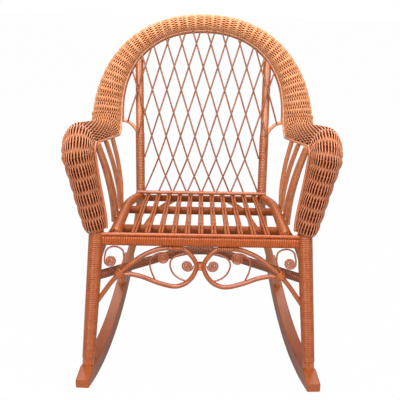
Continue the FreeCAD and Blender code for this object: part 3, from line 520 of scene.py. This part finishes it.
def paint(name, colour, dark, roughness, scale, bump, streak=plain, painted_shade=None, pale=None, front=None,
          coat=gloss_coat):
    """Gloss enamel brushed over cane: patchy colour, uneven sheen, fine ripples and matt painted shade.

    Painted shade is a pair: what tells where it lies, and its colour. Pale holds the colour, the dark colour
    and the painted shade of the paler paint that stands in for painted light and sheen, and front the colour
    of the stretch up the arms' fronts.
    """
    shading = Shading(name)
    stretch = shading.nodes.new("ShaderNodeMapping")
    stretch.inputs["Scale"].default_value = streak
    shading.links.new(shading.place, stretch.inputs["Vector"])
    patches = shading.noise(stretch.outputs["Vector"], scale, patch_detail)
    patch_amount = shading.ramp(patches, patch_start, patch_end)
    base = shading.blend(patch_amount, dark, colour)
    shade_source, shade_colour = painted_shade or (None, None)
    # Pale paint: painted light and sheen
    if pale:
        lit_share = shading.attribute("pale")
        base = shading.blend(lit_share, base, shading.blend(patch_amount, pale[1], pale[0]))
        shade_colour = shading.blend(lit_share, shade_colour, pale[2])
    if front:
        forward = shading.ramp(shading.part_of(shading.place, "Y"), arm_front_y + arm_height, arm_front_y)
        base = shading.blend(forward, base, front)
    sockets = shading.shader.inputs
    shading.set(sockets["Coat Weight"], coat)
    shading.set(sockets["Coat Roughness"], coat_roughness)
    # Painted shade: a darker colour, less specular and no coat where the mask is high
    if painted_shade:
        depth = shade_source(shading)
        base = shading.blend(depth, base, shade_colour)
        specular = shading.ramp(depth, 0.0, 1.0, unshaded_specular, shaded_specular)
        shading.set(sockets["Specular IOR Level"], specular)
        shading.set(sockets["Coat Weight"], shading.ramp(depth, 0.0, coat_end, coat, 0.0))
    shading.set(sockets["Base Color"], base)
    sheen = shading.ramp(patches, 0.0, 1.0, roughness - smoother_step, roughness + rougher_step)
    shading.set(sockets["Roughness"], sheen)
    relief = shading.nodes.new("ShaderNodeBump")
    relief.inputs["Strength"].default_value = bump
    relief.inputs["Distance"].default_value = ripple_height
    ripples = shading.noise(stretch.outputs["Vector"], scale * ripple_fineness, ripple_detail)
    shading.links.new(ripples, relief.inputs["Height"])
    shading.links.new(relief.outputs["Normal"], sockets["Normal"])
    return shading.material


def recess(shading):
    """Painted shade in the recesses of a weave or a binding."""
    return shading.attribute("recess")


def underside(shading):
    """Painted shade on the flanks and the underside of a rod."""
    facing = shading.nodes.new("ShaderNodeNewGeometry")
    return shading.ramp(shading.part_of(facing.outputs["Normal"], "Z"), flank_start, flank_end)


def set_input(material, socket, value):
    """Sets one number of a finished paint's shader."""
    material.node_tree.nodes["Principled BSDF"].inputs[socket].default_value = value


# Colours of painted shade: near black in the weave's slots and on the rods' undersides, dark brown in the
# bindings' grooves
shade_near_black = (0.09, 0.016, 0.004)
slots = (recess, shade_near_black)
grooves = (recess, (0.20, 0.032, 0.006))
flanks = (underside, shade_near_black)
# Paler colour, dark colour and painted shade up the arch: painted light and sheen, where the arch catches
# more light
painted_light_colours = ((0.93, 0.445, 0.200), (0.72, 0.275, 0.102), (0.36, 0.076, 0.016))
# The weave: painted shade in its slots and on its flanks, and paler painted light and sheen up the arch
weave_paint = paint(
    "weave_paint", (0.60, 0.210, 0.096), (0.43, 0.124, 0.050),
    roughness=0.22, scale=60.0, bump=0.25, painted_shade=slots, pale=painted_light_colours, coat=0.35)
pole_paint = paint(
    "pole_paint", (0.50, 0.160, 0.052), (0.36, 0.095, 0.027),
    roughness=0.30, scale=26.0, bump=0.18, streak=(1.0, 1.0, 0.25))
# The rim: painted highlight, paler than the cane for the gloss highlight that runs along it, and a darker
# orange up the arms' fronts, where it has none
rim_highlight_paint = paint(
    "rim_highlight_paint", (0.72, 0.32, 0.15), (0.54, 0.20, 0.08),
    roughness=0.26, scale=60.0, bump=0.2, front=(0.42, 0.125, 0.045))
# Rails under and behind the seat: painted shade, dark brown with little specular and coat, for the shade that
# the slats cast on them
under_seat_shade_paint = paint(
    "under_seat_shade_paint", (0.28, 0.064, 0.014), (0.17, 0.034, 0.008),
    roughness=0.40, scale=26.0, bump=0.18, coat=0.04)
set_input(under_seat_shade_paint, "Specular IOR Level", 0.12)
# The bow under the seat: painted shade, darker and browner for the shade it lies in, with painted shade in
# its binding's grooves
bow_shade_paint = paint(
    "bow_shade_paint", (0.32, 0.090, 0.030), (0.21, 0.052, 0.016),
    roughness=0.34, scale=26.0, bump=0.18, painted_shade=slots)
binding_paint = paint(
    "binding_paint", (0.43, 0.103, 0.017), (0.32, 0.064, 0.009),
    roughness=0.16, scale=70.0, bump=0.2, painted_shade=grooves)
# The posts' binding: painted sheen, its orange paled towards pink for the gloss sheen, with painted shade in
# its grooves
post_sheen_paint = paint(
    "post_sheen_paint", (0.50, 0.170, 0.060), (0.38, 0.105, 0.032),
    roughness=0.18, scale=70.0, bump=0.2, painted_shade=grooves)
rail_paint = paint(
    "rail_paint", (0.42, 0.082, 0.006), (0.32, 0.054, 0.004),
    roughness=0.26, scale=70.0, bump=0.2, painted_shade=grooves, coat=0.2)
reed_paint = paint(
    "reed_paint", (0.36, 0.081, 0.013), (0.26, 0.048, 0.007),
    roughness=0.28, scale=40.0, bump=0.2)
# The spindles and braces: painted sheen, their orange paled towards pink for the gloss sheen
spindle_sheen_paint = paint(
    "spindle_sheen_paint", (0.66, 0.230, 0.085), (0.48, 0.140, 0.045),
    roughness=0.28, scale=40.0, bump=0.2)
strand_paint = paint(
    "strand_paint", (0.32, 0.094, 0.027), (0.22, 0.056, 0.015),
    roughness=0.28, scale=40.0, bump=0.2, coat=0.4)
# The slats: painted shade on their flanks and undersides
seat_paint = paint(
    "seat_paint", (0.46, 0.112, 0.018), (0.33, 0.066, 0.009),
    roughness=0.32, scale=40.0, bump=0.2, painted_shade=flanks, coat=0.2)
runner_paint = paint(
    "runner_paint", (0.34, 0.078, 0.014), (0.24, 0.046, 0.008),
    roughness=0.36, scale=14.0, bump=0.15, streak=(1.0, 0.2, 1.0), coat=0.1)
shade_paint = paint(
    "shade_paint", (0.11, 0.018, 0.005), (0.06, 0.010, 0.003),
    roughness=0.7, scale=60.0, bump=0.3, coat=0.0)
set_input(shade_paint, "Specular IOR Level", 0.1)
screw_metal = paint(
    "screw_metal", (0.42, 0.41, 0.40), (0.28, 0.27, 0.27),
    roughness=0.35, scale=300.0, bump=0.1, coat=0.0)
set_input(screw_metal, "Metallic", 1.0)


def paint_solids():
    """Paint on the solids that are shown as they are."""
    for name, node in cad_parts.items():
        if "screw" in name:
            material = screw_metal
        elif "rocker" in name:
            material = runner_paint
        elif "wrap" in name or "ties" in name:
            material = binding_paint
        elif "slat" in name:
            material = seat_paint
        elif "skirt" in name:
            material = reed_paint
        elif "spindle" in name or "brace" in name:
            material = spindle_sheen_paint
        elif "rim" in name:
            material = rim_highlight_paint
        elif "cross_rail" in name or name == "back_rail":
            material = under_seat_shade_paint
        elif "nosing" in name:
            material = rail_paint
        elif "front_leg" in name or name == "lattice_rail":
            material = binding_paint
        else:
            material = pole_paint
        node.data.materials.clear()
        node.data.materials.append(material)


# Woven roll: a channel that runs up the arm's front, back along the arm and over the arch


def station_row(spine, across, normal, half, height, edge, band):
    """One station: middle, two directions, half width, height, inner edge's angle, place in the weave."""
    return np.concatenate((spine, across, normal, (half, height, edge, band)))


def turned_normal(angle):
    """Forwards at zero, up at a quarter turn."""
    return np.array((0.0, -math.cos(angle), math.sin(angle)))


def back_point(x, z, forward=0.0):
    """A point of the leaning back, forward of the posts' middle plane."""
    return np.array((x, post_seat_y + (z - seat_back_z) * math.tan(back_tilt), z)) + back_normal * forward


def squared_off(value):
    return math.copysign(abs(value) ** (2 / arch_fullness), value)


def arch_place(angle):
    x = arch_half_width * squared_off(math.cos(angle))
    z = arch_spring_z + (arch_top_z - arch_spring_z) * squared_off(math.sin(angle))
    return back_point(x, z, arch_forward)


def arch_bands(shares):
    """Bands passed along half of the arch: narrow ones within a pair of stakes, wide ones between pairs.

    The last wide band is halved, because its middle is the arch's top.
    """
    widths = np.tile((stake_pair_share, 1 - stake_pair_share), arch_pairs)
    widths[-1] /= 2
    places = np.concatenate(([0.0], np.cumsum(widths)))
    counts = np.arange(len(places), dtype=float)
    counts[-1] -= 0.5
    return np.interp(shares, places / places[-1], counts)


def arch_row(angle, passed):
    place = arch_place(angle)
    across = np.cross(arch_place(angle + arch_probe) - arch_place(angle - arch_probe), back_normal)
    across /= np.linalg.norm(across)
    rise = squared_off(math.sin(angle))
    half = arch_shoulder_half_width + (arch_top_half_width - arch_shoulder_half_width) * rise
    height = arch_shoulder_height + (arch_top_height - arch_shoulder_height) * rise
    band = math.floor(passed)
    off_middle = 2 * (passed - band) - 1
    rib = 0.0
    if band % 2:
        rib = arch_rib_rise * math.cos(math.pi / 2 * off_middle) ** 2
        off_middle = math.copysign(abs(off_middle) ** rib_flatness, off_middle)
    band += arch_start_band + (off_middle + 1) / 2
    return station_row(place, across, back_normal, half + rib, height + rib, 0.0, band)


def front_rows():
    """Up the front of the left arm."""
    foot = np.array((leg_seat[0], front_leg_y + roll_foot_depth, roll_foot_z))
    top = np.array((arm_x, front_leg_y + arm_front_depth, arm_front_z))
    lean = math.atan2(top[0] - foot[0], top[2] - foot[2])
    across = np.array((math.cos(lean), 0, -math.sin(lean)))
    rises, widths, heights = zip(*arm_front_shares)
    rows = []
    for share in np.linspace(0, 1, front_stations, endpoint=False):
        half = arm_half_width * np.interp(share, rises, widths)
        height = arm_height * np.interp(share, rises, heights)
        spine = foot + (top - foot) * share
        band = first_band + front_bands * share
        rows.append(station_row(spine, across, turned_normal(0), half, height, arm_edge, band))
    return rows, top, lean


def bend_rows(top, lean):
    """Over the front of the arm."""
    pivot = top + np.array((0, arm_bend_radius, 0))
    rows = []
    for share in np.linspace(0, 1, bend_stations):
        normal = turned_normal((math.pi / 2 + arm_slope) * share)
        across = np.array((math.cos(lean * (1 - share)), 0, -math.sin(lean * (1 - share))))
        spine = pivot + normal * arm_bend_radius
        band = bend_start_band + bend_bands * share
        rows.append(station_row(spine, across, normal, arm_half_width, arm_height, arm_edge, band))
    return rows


def run_rows(start):
    """Back along the arm and round into the arch."""
    sideways = np.array((1.0, 0, 0))
    backwards = np.array((0, math.cos(arm_slope), -math.sin(arm_slope)))
    full_turn = math.pi / 2 + arm_slope
    up = turned_normal(full_turn)
    lift = up * (arm_height + shoulder_radius)
    reach = back_normal * (arch_shoulder_height + shoulder_radius)
    plane_point = back_point(0, arch_spring_z, arch_forward)
    run = np.dot(plane_point - (start + lift - reach), back_normal) / np.dot(backwards, back_normal)
    rows = []
    for share in np.linspace(0, 1, run_stations)[1:]:
        half = arm_half_width + (arch_shoulder_half_width - arm_half_width) * share
        spine = start + backwards * run * share
        band = run_start_band + run_bands * share * (1 - run_gather_share + run_gather_share * share)
        rows.append(station_row(spine, sideways, up, half, arm_height, arm_edge, band))
    pivot = start + backwards * run + lift
    for share in np.linspace(0, 1, shoulder_stations)[1:]:
        normal = turned_normal(full_turn - (full_turn - back_tilt) * share)
        height = arm_height + (arch_shoulder_height - arm_height) * share
        spine = pivot - normal * (height + shoulder_radius)
        edge = arm_edge * (1 - share)
        band = shoulder_start_band + shoulder_bands * share
        rows.append(station_row(spine, sideways, normal, arch_shoulder_half_width, height, edge, band))
    return rows


class Roll:
    """Even stations of the left half of the roll, with the weave's pitches at each of them."""

    def __init__(self):
        front, top, lean = front_rows()
        bend = bend_rows(top, lean)
        run = run_rows(bend[-1][spine_part])
        rise = run[-1][2] - arch_place(0)[2]
        first = math.asin((rise / (arch_top_z - arch_spring_z)) ** (arch_fullness / 2))
        angles = np.linspace(first, math.pi / 2, arch_stations)
        arch_line = np.array([arch_place(angle) for angle in angles])
        along = np.concatenate(([0.0], np.cumsum(np.linalg.norm(np.diff(arch_line, axis=0), axis=1))))
        bands = arch_bands(along / along[-1])
        arch = [arch_row(angle, passed) for angle, passed in zip(angles[1:], bands[1:])]
        rows = np.array(front + bend + run + arch)
        line = rows[:, spine_part] + rows[:, normal_part] * rows[:, height_column, None] * weave_line_share
        lengths = np.concatenate(([0.0], np.cumsum(np.linalg.norm(np.diff(line, axis=0), axis=1))))
        arch_start = lengths[-1 - len(arch)]
        arch_end = lengths[-1]
        arm_places = np.arange(0.0, arch_start, station_step)
        arch_places = np.linspace(arch_start, arch_end, int((arch_end - arch_start) / arch_station_step) + 1)
        places = np.concatenate((arm_places, arch_places))
        self.rows = np.stack([np.interp(places, lengths, column) for column in rows.T], axis=1)
        self.arch_index = int(np.searchsorted(places, arch_start))
        self.pitch = np.interp(places, (arch_start, arch_end), (weaver_pitch_arm, weaver_pitch_top))
        self.phase = math.pi * self.rows[:, band_column]
        # Paler up the arch: painted light and sheen
        self.pale = np.interp(self.rows[:, band_column], pale_bands, pale_shares)
        self.tables = [self.table(row) for row in self.rows]

    def surface(self, row, angles, inset):
        """Points of the roll below its surface, and their outward directions, at angles round its section."""
        cosines, sines = np.cos(angles)[:, None], np.sin(angles)[:, None]
        across, normal = row[across_part], row[normal_part]
        half, height = row[half_column] - inset, row[height_column] - inset
        outward = unit_rows(across * cosines / half + normal * sines / height)
        return row[spine_part] + across * half * cosines + normal * height * sines, outward

    def table(self, row):
        """Distance round the section from its crown, for a fan of angles from the inner edge to the lip."""
        angles = np.linspace(math.pi - row[edge_column], -lip_angle, fan_points)
        place, _ = self.surface(row, angles, weave_inset)
        lengths = np.concatenate(([0.0], np.cumsum(np.linalg.norm(np.diff(place, axis=0), axis=1))))
        return lengths - np.interp(-math.pi / 2, -angles, lengths), angles


def weaver_runs(roll, number):
    """Stretches of one weaver that lie on the roll: station numbers, points, outward directions, swings."""
    runs, run = [], []
    for index, row in enumerate(roll.rows):
        lengths, angles = roll.tables[index]
        around = number * roll.pitch[index]
        if lengths[0] <= around <= lengths[-1]:
            place, outward = roll.surface(row, np.interp([around], lengths, angles), weave_inset)
            swing = math.cos(roll.phase[index] + number * math.pi)
            run.append((index, place[0] + outward[0] * swing * weave_swing, outward[0], swing))
        elif run:
            runs.append(run)
            run = []
    return runs + [run]


def add_weaver(builder, roll, run, recess_shares):
    path = np.array([point for _, point, _, _ in run])
    outward = np.array([direction for _, _, direction, _ in run])
    swings = np.array([swing for _, _, _, swing in run])
    start, end = recess_shares
    # Painted shade where the weaver dips behind the stakes, and on its flanks
    depths = np.clip((start - swings) / (start - end), 0.0, 1.0)
    tangents = directions(path)
    side = unit_rows(np.cross(tangents, outward))
    outwards = np.cross(side, tangents)
    rows = tube_rows(path, side, outwards, weaver_half_width, weaver_half_height, weaver_sides)
    rises = np.sin(np.linspace(0, 2 * math.pi, weaver_sides, endpoint=False))
    flanks = flank_depth * (1 - np.clip(rises / rises.max(), 0.0, 1.0))
    pales = roll.pale[[index for index, _, _, _ in run]]
    builder.grid(rows, True, 0, True, np.maximum(depths[:, None], flanks), pales[:, None])


def add_stake(builder, roll, index):
    row = roll.rows[index]
    angles = np.linspace(math.pi - row[edge_column], -lip_angle, stake_points)
    place, _ = roll.surface(row, angles, weave_inset)
    add_tube(builder, place, stake_radius, stake_sides, stake_depth)


def add_lining(builder, roll):
    """The inside of the weave: in shadow towards the weave, and waved like it towards the hollow."""
    outer, inner, border = [], [], []
    for index, row in enumerate(roll.rows):
        lengths, angles = roll.tables[index]
        around = np.linspace(lengths[0], lengths[-1], lining_points)
        skin, outward = roll.surface(row, np.interp(around, lengths, angles), lining_inset)
        wave = np.cos(math.pi * around / weaver_pitch_arm / 2) * math.cos(roll.phase[index])
        corner, _ = roll.surface(row, angles[:1], 0.0)
        rim_middle = corner[0] - row[across_part] * rim_out - row[normal_part] * rim_back
        under, _ = roll.surface(row, angles[:1], weave_inset + weaver_half_height)
        border.append((rim_middle, under[0], skin[0]))
        outer.append(skin)
        inner.append(skin - outward * (lining_wave * (lining_rest + wave))[:, None])
    pales = roll.pale[:, None]
    builder.grid(outer, False, 1)
    builder.grid(border, False, 0, False, border_depth, pales)
    builder.grid(np.array(inner)[:, ::-1], False, 0, False, 0.0, pales)


def weave():
    """The weavers and stakes of the arms and of the arch, and the lining inside them."""
    roll = Roll()
    arm, arch = Builder(), Builder()
    least = min(lengths[0] for lengths, _ in roll.tables)
    most = max(lengths[-1] for lengths, _ in roll.tables)
    for number in range(int(least / weaver_pitch_top) - 1, int(most / weaver_pitch_top) + 2):
        for run in weaver_runs(roll, number):
            for builder, part, recess_shares in (
                (arm, [step for step in run if step[0] <= roll.arch_index], arm_recess_shares),
                (arch, [step for step in run if step[0] >= roll.arch_index], arch_recess_shares),
            ):
                if len(part) > shortest_run:
                    add_weaver(builder, roll, part, recess_shares)
    turns = np.floor(roll.phase / math.pi)
    for index in range(1, len(roll.rows)):
        if turns[index] != turns[index - 1]:
            add_stake(arm if index <= roll.arch_index else arch, roll, index)
    make_pair(arm, "arm_weave", "woven_cane", [weave_paint], "arm_roll")
    arch.make("left_back_weave", "woven_cane", [weave_paint], ("back_roll",))
    arch.mirrored().make("right_back_weave", "woven_cane", [weave_paint], ("back_roll",))
    lining = Builder()
    add_lining(lining, roll)
    make_pair(lining, "weave_lining", "woven_cane", [weave_paint, shade_paint])


# Bindings


def slat_z(y):
    """Height of the slats' middle line."""
    rail_back_y = front_leg_y + front_rail_depth / 2
    return rail_top_z + slat_radius + touch_gap + (rail_back_y - y) * seat_slope


def bind_legs():
    up = (leg_seat - leg_foot) / np.linalg.norm(leg_seat - leg_foot)
    start = leg_foot + up * leg_bare_length
    end = leg_foot + up * (seat_front_z - leg_foot[2]) / up[2]
    builder = Builder()
    radii = (leg_wrap_foot_radius, leg_wrap_top_radius)
    add_wound(builder, (start, end), round_section(leg_turn_points), radii)
    make_pair(builder, "leg_binding", "cane_binding", [binding_paint], "front_leg_wrap")


def bind_posts():
    bend, top = back_point(post_seat_x, post_bend_z), back_point(post_top_x, post_top_z)
    up = (top - bend) / np.linalg.norm(top - bend)
    start = bend + up * post_bend_reach
    end = start + up * post_wrap_length
    builder = Builder()
    add_wound(builder, (start, end), round_section(post_turn_points), (post_wrap_radius, post_wrap_radius))
    make_pair(builder, "post_binding", "cane_binding", [post_sheen_paint], "back_post_wrap")


def bind_side_rails():
    start_y = front_leg_y + front_rail_depth / 2

    def place(x, y):
        return x, y, slat_z(y) - side_rail_below_slats

    points = [place(side_rail_x, start_y)]
    for depth_share, bow_share in side_rail_bow_shares:
        points.append(place(side_rail_x + side_rail_bow * bow_share, start_y + seat_depth * depth_share))
    points.append(place(post_seat_x, post_seat_y))
    builder = Builder()
    radii = (side_wrap_front_radius, side_wrap_radius)
    add_wound(builder, bent_path(points, binding_pitch), round_section(rod_turn_points), radii)
    make_pair(builder, "side_rail_binding", "cane_binding", [binding_paint], "side_rail_wrap")


def bind_front_rail():
    end = np.array((leg_seat[0] - leg_wrap_foot_radius, front_leg_y, rail_middle_z))
    section = box_section(front_rail_depth / 2, front_rail_height / 2, front_rail_round, rail_corner_points)
    builder = Builder()
    add_wound(builder, (end * flip_x, end), section, (1.0, 1.0), rail_binding_pitch)
    builder.make("front_rail_binding", "cane_binding", [rail_paint], ("front_rail_wrap",))


def bind_bow():
    end = np.array((bow_end_x, front_leg_y, bow_z))
    flat_end = np.array((bow_flat_half, front_leg_y + bow_depth, bow_z))
    path = bent_path((end, flat_end, flat_end * flip_x, end * flip_x), binding_pitch)
    builder = Builder()
    add_wound(builder, path, round_section(rod_turn_points), (bow_radius, bow_radius))
    builder.make("bow_binding", "cane_binding", [bow_shade_paint], ("bow_stretcher",))


def skirt_point(x, drop):
    """A point of the scrollwork's plane, which follows the front legs."""
    up = np.array((0, leg_seat[1] - leg_foot[1], leg_seat[2] - leg_foot[2]))
    return np.array((x, front_leg_y, rail_bottom_z)) - up / np.linalg.norm(up) * drop


def shared_point(shares):
    """A point of the scrollwork at shares of its half width and of its drop."""
    return skirt_point(shares[0] * leg_seat[0], shares[1] * skirt_drop)


def bind_scrollwork():
    """Ties of the scrollwork to the front rail, to its side reeds and in the middle."""
    half = Builder()
    rail_tie = [skirt_point(share * leg_seat[0], rail_tie_radius + touch_gap) for share in rail_tie_shares]
    add_wound(half, rail_tie, round_section(tie_turn_points), (rail_tie_radius, rail_tie_radius))
    reach = reed_radius + reed_tie_wall
    lean = shared_point(side_tie_lean_shares[1]) - shared_point(side_tie_lean_shares[0])
    lean /= np.linalg.norm(lean)
    middle = shared_point(side_tie_share)
    side_tie = (middle - lean * reach, middle + lean * reach)
    side_radius = reed_radius + reach
    add_wound(half, side_tie, round_section(rod_turn_points), (side_radius, side_radius))
    builder = Builder()
    builder.take(half)
    builder.take(half.mirrored())
    drop = waist_drop_share * skirt_drop
    ends = [skirt_point(0, drop + sign * reed_tie_length / 2) for sign in (1, -1)]
    section = box_section(reach + reed_radius + touch_gap, reach, reach, waist_corner_points)
    add_wound(builder, ends, section, (1.0, 1.0))
    builder.make("scrollwork_binding", "cane_binding", [binding_paint], ("skirt_ties",))


def flat_ball(centre, radius, depth):
    """Rows of points of a flattened ball, flat towards the front."""
    around = np.linspace(0, 2 * math.pi, ball_sides, endpoint=False)
    rows = []
    for tilt in np.radians(np.linspace(-ball_end_deg, ball_end_deg, ball_rows)):
        depths = np.full(ball_sides, math.sin(tilt) * depth)
        spread = math.cos(tilt) * radius
        rows.append(centre + np.stack((np.cos(around) * spread, depths, np.sin(around) * spread), axis=1))
    return rows


def tuck_coils():
    """The tucked-in ends that close the middles of the coils."""
    waist_x = 2 * reed_radius + touch_gap + rosette_offset + rosette_radius
    centres = [shared_point(shares) for shares in rosette_shares]
    centres.append(skirt_point(waist_x, waist_drop_share * skirt_drop))
    half = Builder()
    for centre in centres:
        half.grid(flat_ball(centre, coil_end_radius, coil_end_depth), True, 0, True)
    builder = Builder()
    builder.take(half)
    builder.take(half.mirrored())
    builder.make("coil_ends", "reed", [reed_paint])


# Lattice


def strand_lines(node):
    """The middle line of each strand in a node of the solids, from its foot up."""
    mesh = node.data
    group = list(range(len(mesh.vertices)))

    def head(index):
        while group[index] != index:
            group[index] = group[group[index]]
            index = group[index]
        return index

    for edge in mesh.edges:
        first, second = edge.vertices
        group[head(first)] = head(second)
    strands = {}
    for vertex in mesh.vertices:
        strands.setdefault(head(vertex.index), []).append(node.matrix_world @ vertex.co)
    lines = []
    for points in strands.values():
        points = np.array(points)
        axis = points[points[:, 2].argmax()] - points[points[:, 2].argmin()]
        along = points @ axis / np.linalg.norm(axis)
        order = np.argsort(along)
        rings = np.split(points[order], np.flatnonzero(np.diff(along[order]) > strand_radius / 2) + 1)
        if len(rings) > 1:  # an end face by itself is no strand
            lines.append(np.array([ring.mean(axis=0) for ring in rings]))
    return lines


def crossings_below(heights):
    """How many strands a strand has crossed at heights above its lowest crossing."""
    bend = lattice_low_rows * lattice_low_rise
    low = heights / lattice_low_rise
    return np.where(heights < bend, low, lattice_low_rows + (heights - bend) / lattice_rise)


def led_down(line):
    """A strand's middle line, led straight on from its foot into the rod that the lattice stands on."""
    slope = (line[1] - line[0]) / (line[1, 2] - line[0, 2])
    return np.vstack([line[0] - slope * strand_foot_reach, line])


def tied_back(path, rod):
    """A strand's path, its foot bent over to the nearest place on a rod."""
    reaches = np.array([rod.matrix_world @ vertex.co for vertex in rod.data.vertices]) - path[0]
    lengths = np.linalg.norm(reaches, axis=1)
    shift = reaches[lengths.argmin()] * (1 - strand_radius / lengths.min())
    bend = np.clip(1 - (path[:, 2] - path[0, 2]) / strand_tie_bend, 0.0, 1.0)
    return path + shift * bend[:, None] ** 2


def interlace(name, sign, forward):
    """One family of the lattice, passing in front of and behind the other by turns."""
    builder = Builder()
    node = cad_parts[name]
    lines = strand_lines(node)
    foot_z = min(line[0, 2] for line in lines)
    last_foot_z = max(line[0, 2] for line in lines)
    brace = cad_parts["right_shoulder_brace" if sign > 0 else "left_shoulder_brace"]
    cross_z = foot_z - lattice_foot_drop
    for line in lines:
        outermost = line[0, 2] == last_foot_z
        if line[0, 2] < foot_z + strand_radius:
            line = led_down(line)
        path = resampled(line, lattice_step)
        swing = np.cos(math.pi * crossings_below(path[:, 2] - cross_z))
        path = path + back_normal * (forward + sign * swing * (strand_radius + touch_gap / 2))[:, None]
        if outermost:
            path = tied_back(path, brace)
        add_tube(builder, path, strand_radius, strand_sides)
    builder.make(name.replace("lattice_", "woven_"), "reed", [strand_paint], (name,))


# Studio


def studio():
    """White floor and backdrop, an even sky and four soft lamps."""
    mesh = bpy.data.meshes.new("floor")
    corners = [(x * floor_reach, y * floor_reach, 0) for x, y in ((-1, -1), (1, -1), (1, 1), (-1, 1))]
    mesh.from_pydata(corners, [], [(0, 1, 2, 3)])
    floor = bpy.data.objects.new("floor", mesh)
    bpy.context.scene.collection.objects.link(floor)
    mesh.materials.append(floor_paint())

    world = bpy.data.worlds.new("studio")
    world.use_nodes = True
    nodes, links = world.node_tree.nodes, world.node_tree.links
    ambient = nodes["Background"]
    ambient.inputs["Color"].default_value = (1.0, 1.0, 1.0, 1.0)
    ambient.inputs["Strength"].default_value = ambient_strength
    backdrop = nodes.new("ShaderNodeBackground")
    backdrop.inputs["Color"].default_value = (1.0, 1.0, 1.0, 1.0)
    seen = nodes.new("ShaderNodeLightPath")
    mix = nodes.new("ShaderNodeMixShader")
    links.new(seen.outputs["Is Camera Ray"], mix.inputs["Fac"])
    links.new(ambient.outputs["Background"], mix.inputs[1])
    links.new(backdrop.outputs["Background"], mix.inputs[2])
    links.new(mix.outputs["Shader"], nodes["World Output"].inputs["Surface"])
    bpy.context.scene.world = world

    lamp("overhead", overhead_place, lamp_aim, overhead_size, overhead_watts)
    lamp("front_left", front_left_place, lamp_aim, front_lamp_size, front_left_watts)
    lamp("front_right", front_right_place, lamp_aim, front_lamp_size, front_right_watts)
    lamp("back_top", back_top_place, back_lamp_aim, back_top_size, back_top_watts)


def floor_paint():
    """Plain white floor. Seen directly, it stays white, with faint shadows."""
    material = bpy.data.materials.new("floor_white")
    material.use_nodes = True
    nodes, links = material.node_tree.nodes, material.node_tree.links
    matt = nodes["Principled BSDF"]
    matt.inputs["Base Color"].default_value = (floor_grey, floor_grey, floor_grey, 1.0)
    matt.inputs["Roughness"].default_value = floor_roughness
    white = nodes.new("ShaderNodeEmission")
    white.inputs["Color"].default_value = (1.0, 1.0, 1.0, 1.0)
    seen = nodes.new("ShaderNodeLightPath")
    part = nodes.new("ShaderNodeMath")
    part.operation = "MULTIPLY"
    part.inputs[1].default_value = floor_white_share
    mix = nodes.new("ShaderNodeMixShader")
    links.new(seen.outputs["Is Camera Ray"], part.inputs[0])
    links.new(part.outputs["Value"], mix.inputs["Fac"])
    links.new(matt.outputs["BSDF"], mix.inputs[1])
    links.new(white.outputs["Emission"], mix.inputs[2])
    links.new(mix.outputs["Shader"], nodes["Material Output"].inputs["Surface"])
    return material


def lamp(name, place, target, size, power):
    """A square soft lamp."""
    light = bpy.data.lights.new(name, "AREA")
    light.size = size
    light.energy = power
    holder = bpy.data.objects.new(name, light)
    holder.location = place
    holder.rotation_euler = (Vector(target) - Vector(place)).to_track_quat("-Z", "Y").to_euler()
    bpy.context.scene.collection.objects.link(holder)


def camera():
    """The view of the photograph."""
    data = bpy.data.cameras.new("camera")
    data.sensor_width = sensor_width_mm
    data.lens = photo_focal_px / photo_width_px * sensor_width_mm
    view = bpy.data.objects.new("camera", data)
    view.location = camera_place
    pitch = Matrix.Rotation(math.radians(90 - camera_pitch_deg), 3, "X")
    roll = Matrix.Rotation(math.radians(camera_roll_deg), 3, "Z")
    view.rotation_euler = (pitch @ roll).to_euler()
    bpy.context.scene.collection.objects.link(view)
    bpy.context.scene.camera = view


paint_solids()
weave()
bind_legs()
bind_posts()
bind_side_rails()
bind_front_rail()
bind_bow()
bind_scrollwork()
tuck_coils()
interlace("lattice_left_strands", 1, strand_radius + touch_gap / 2)
interlace("lattice_right_strands", -1, -strand_radius - touch_gap / 2)
studio()
camera()
bpy.context.scene.view_settings.view_transform = "Standard"
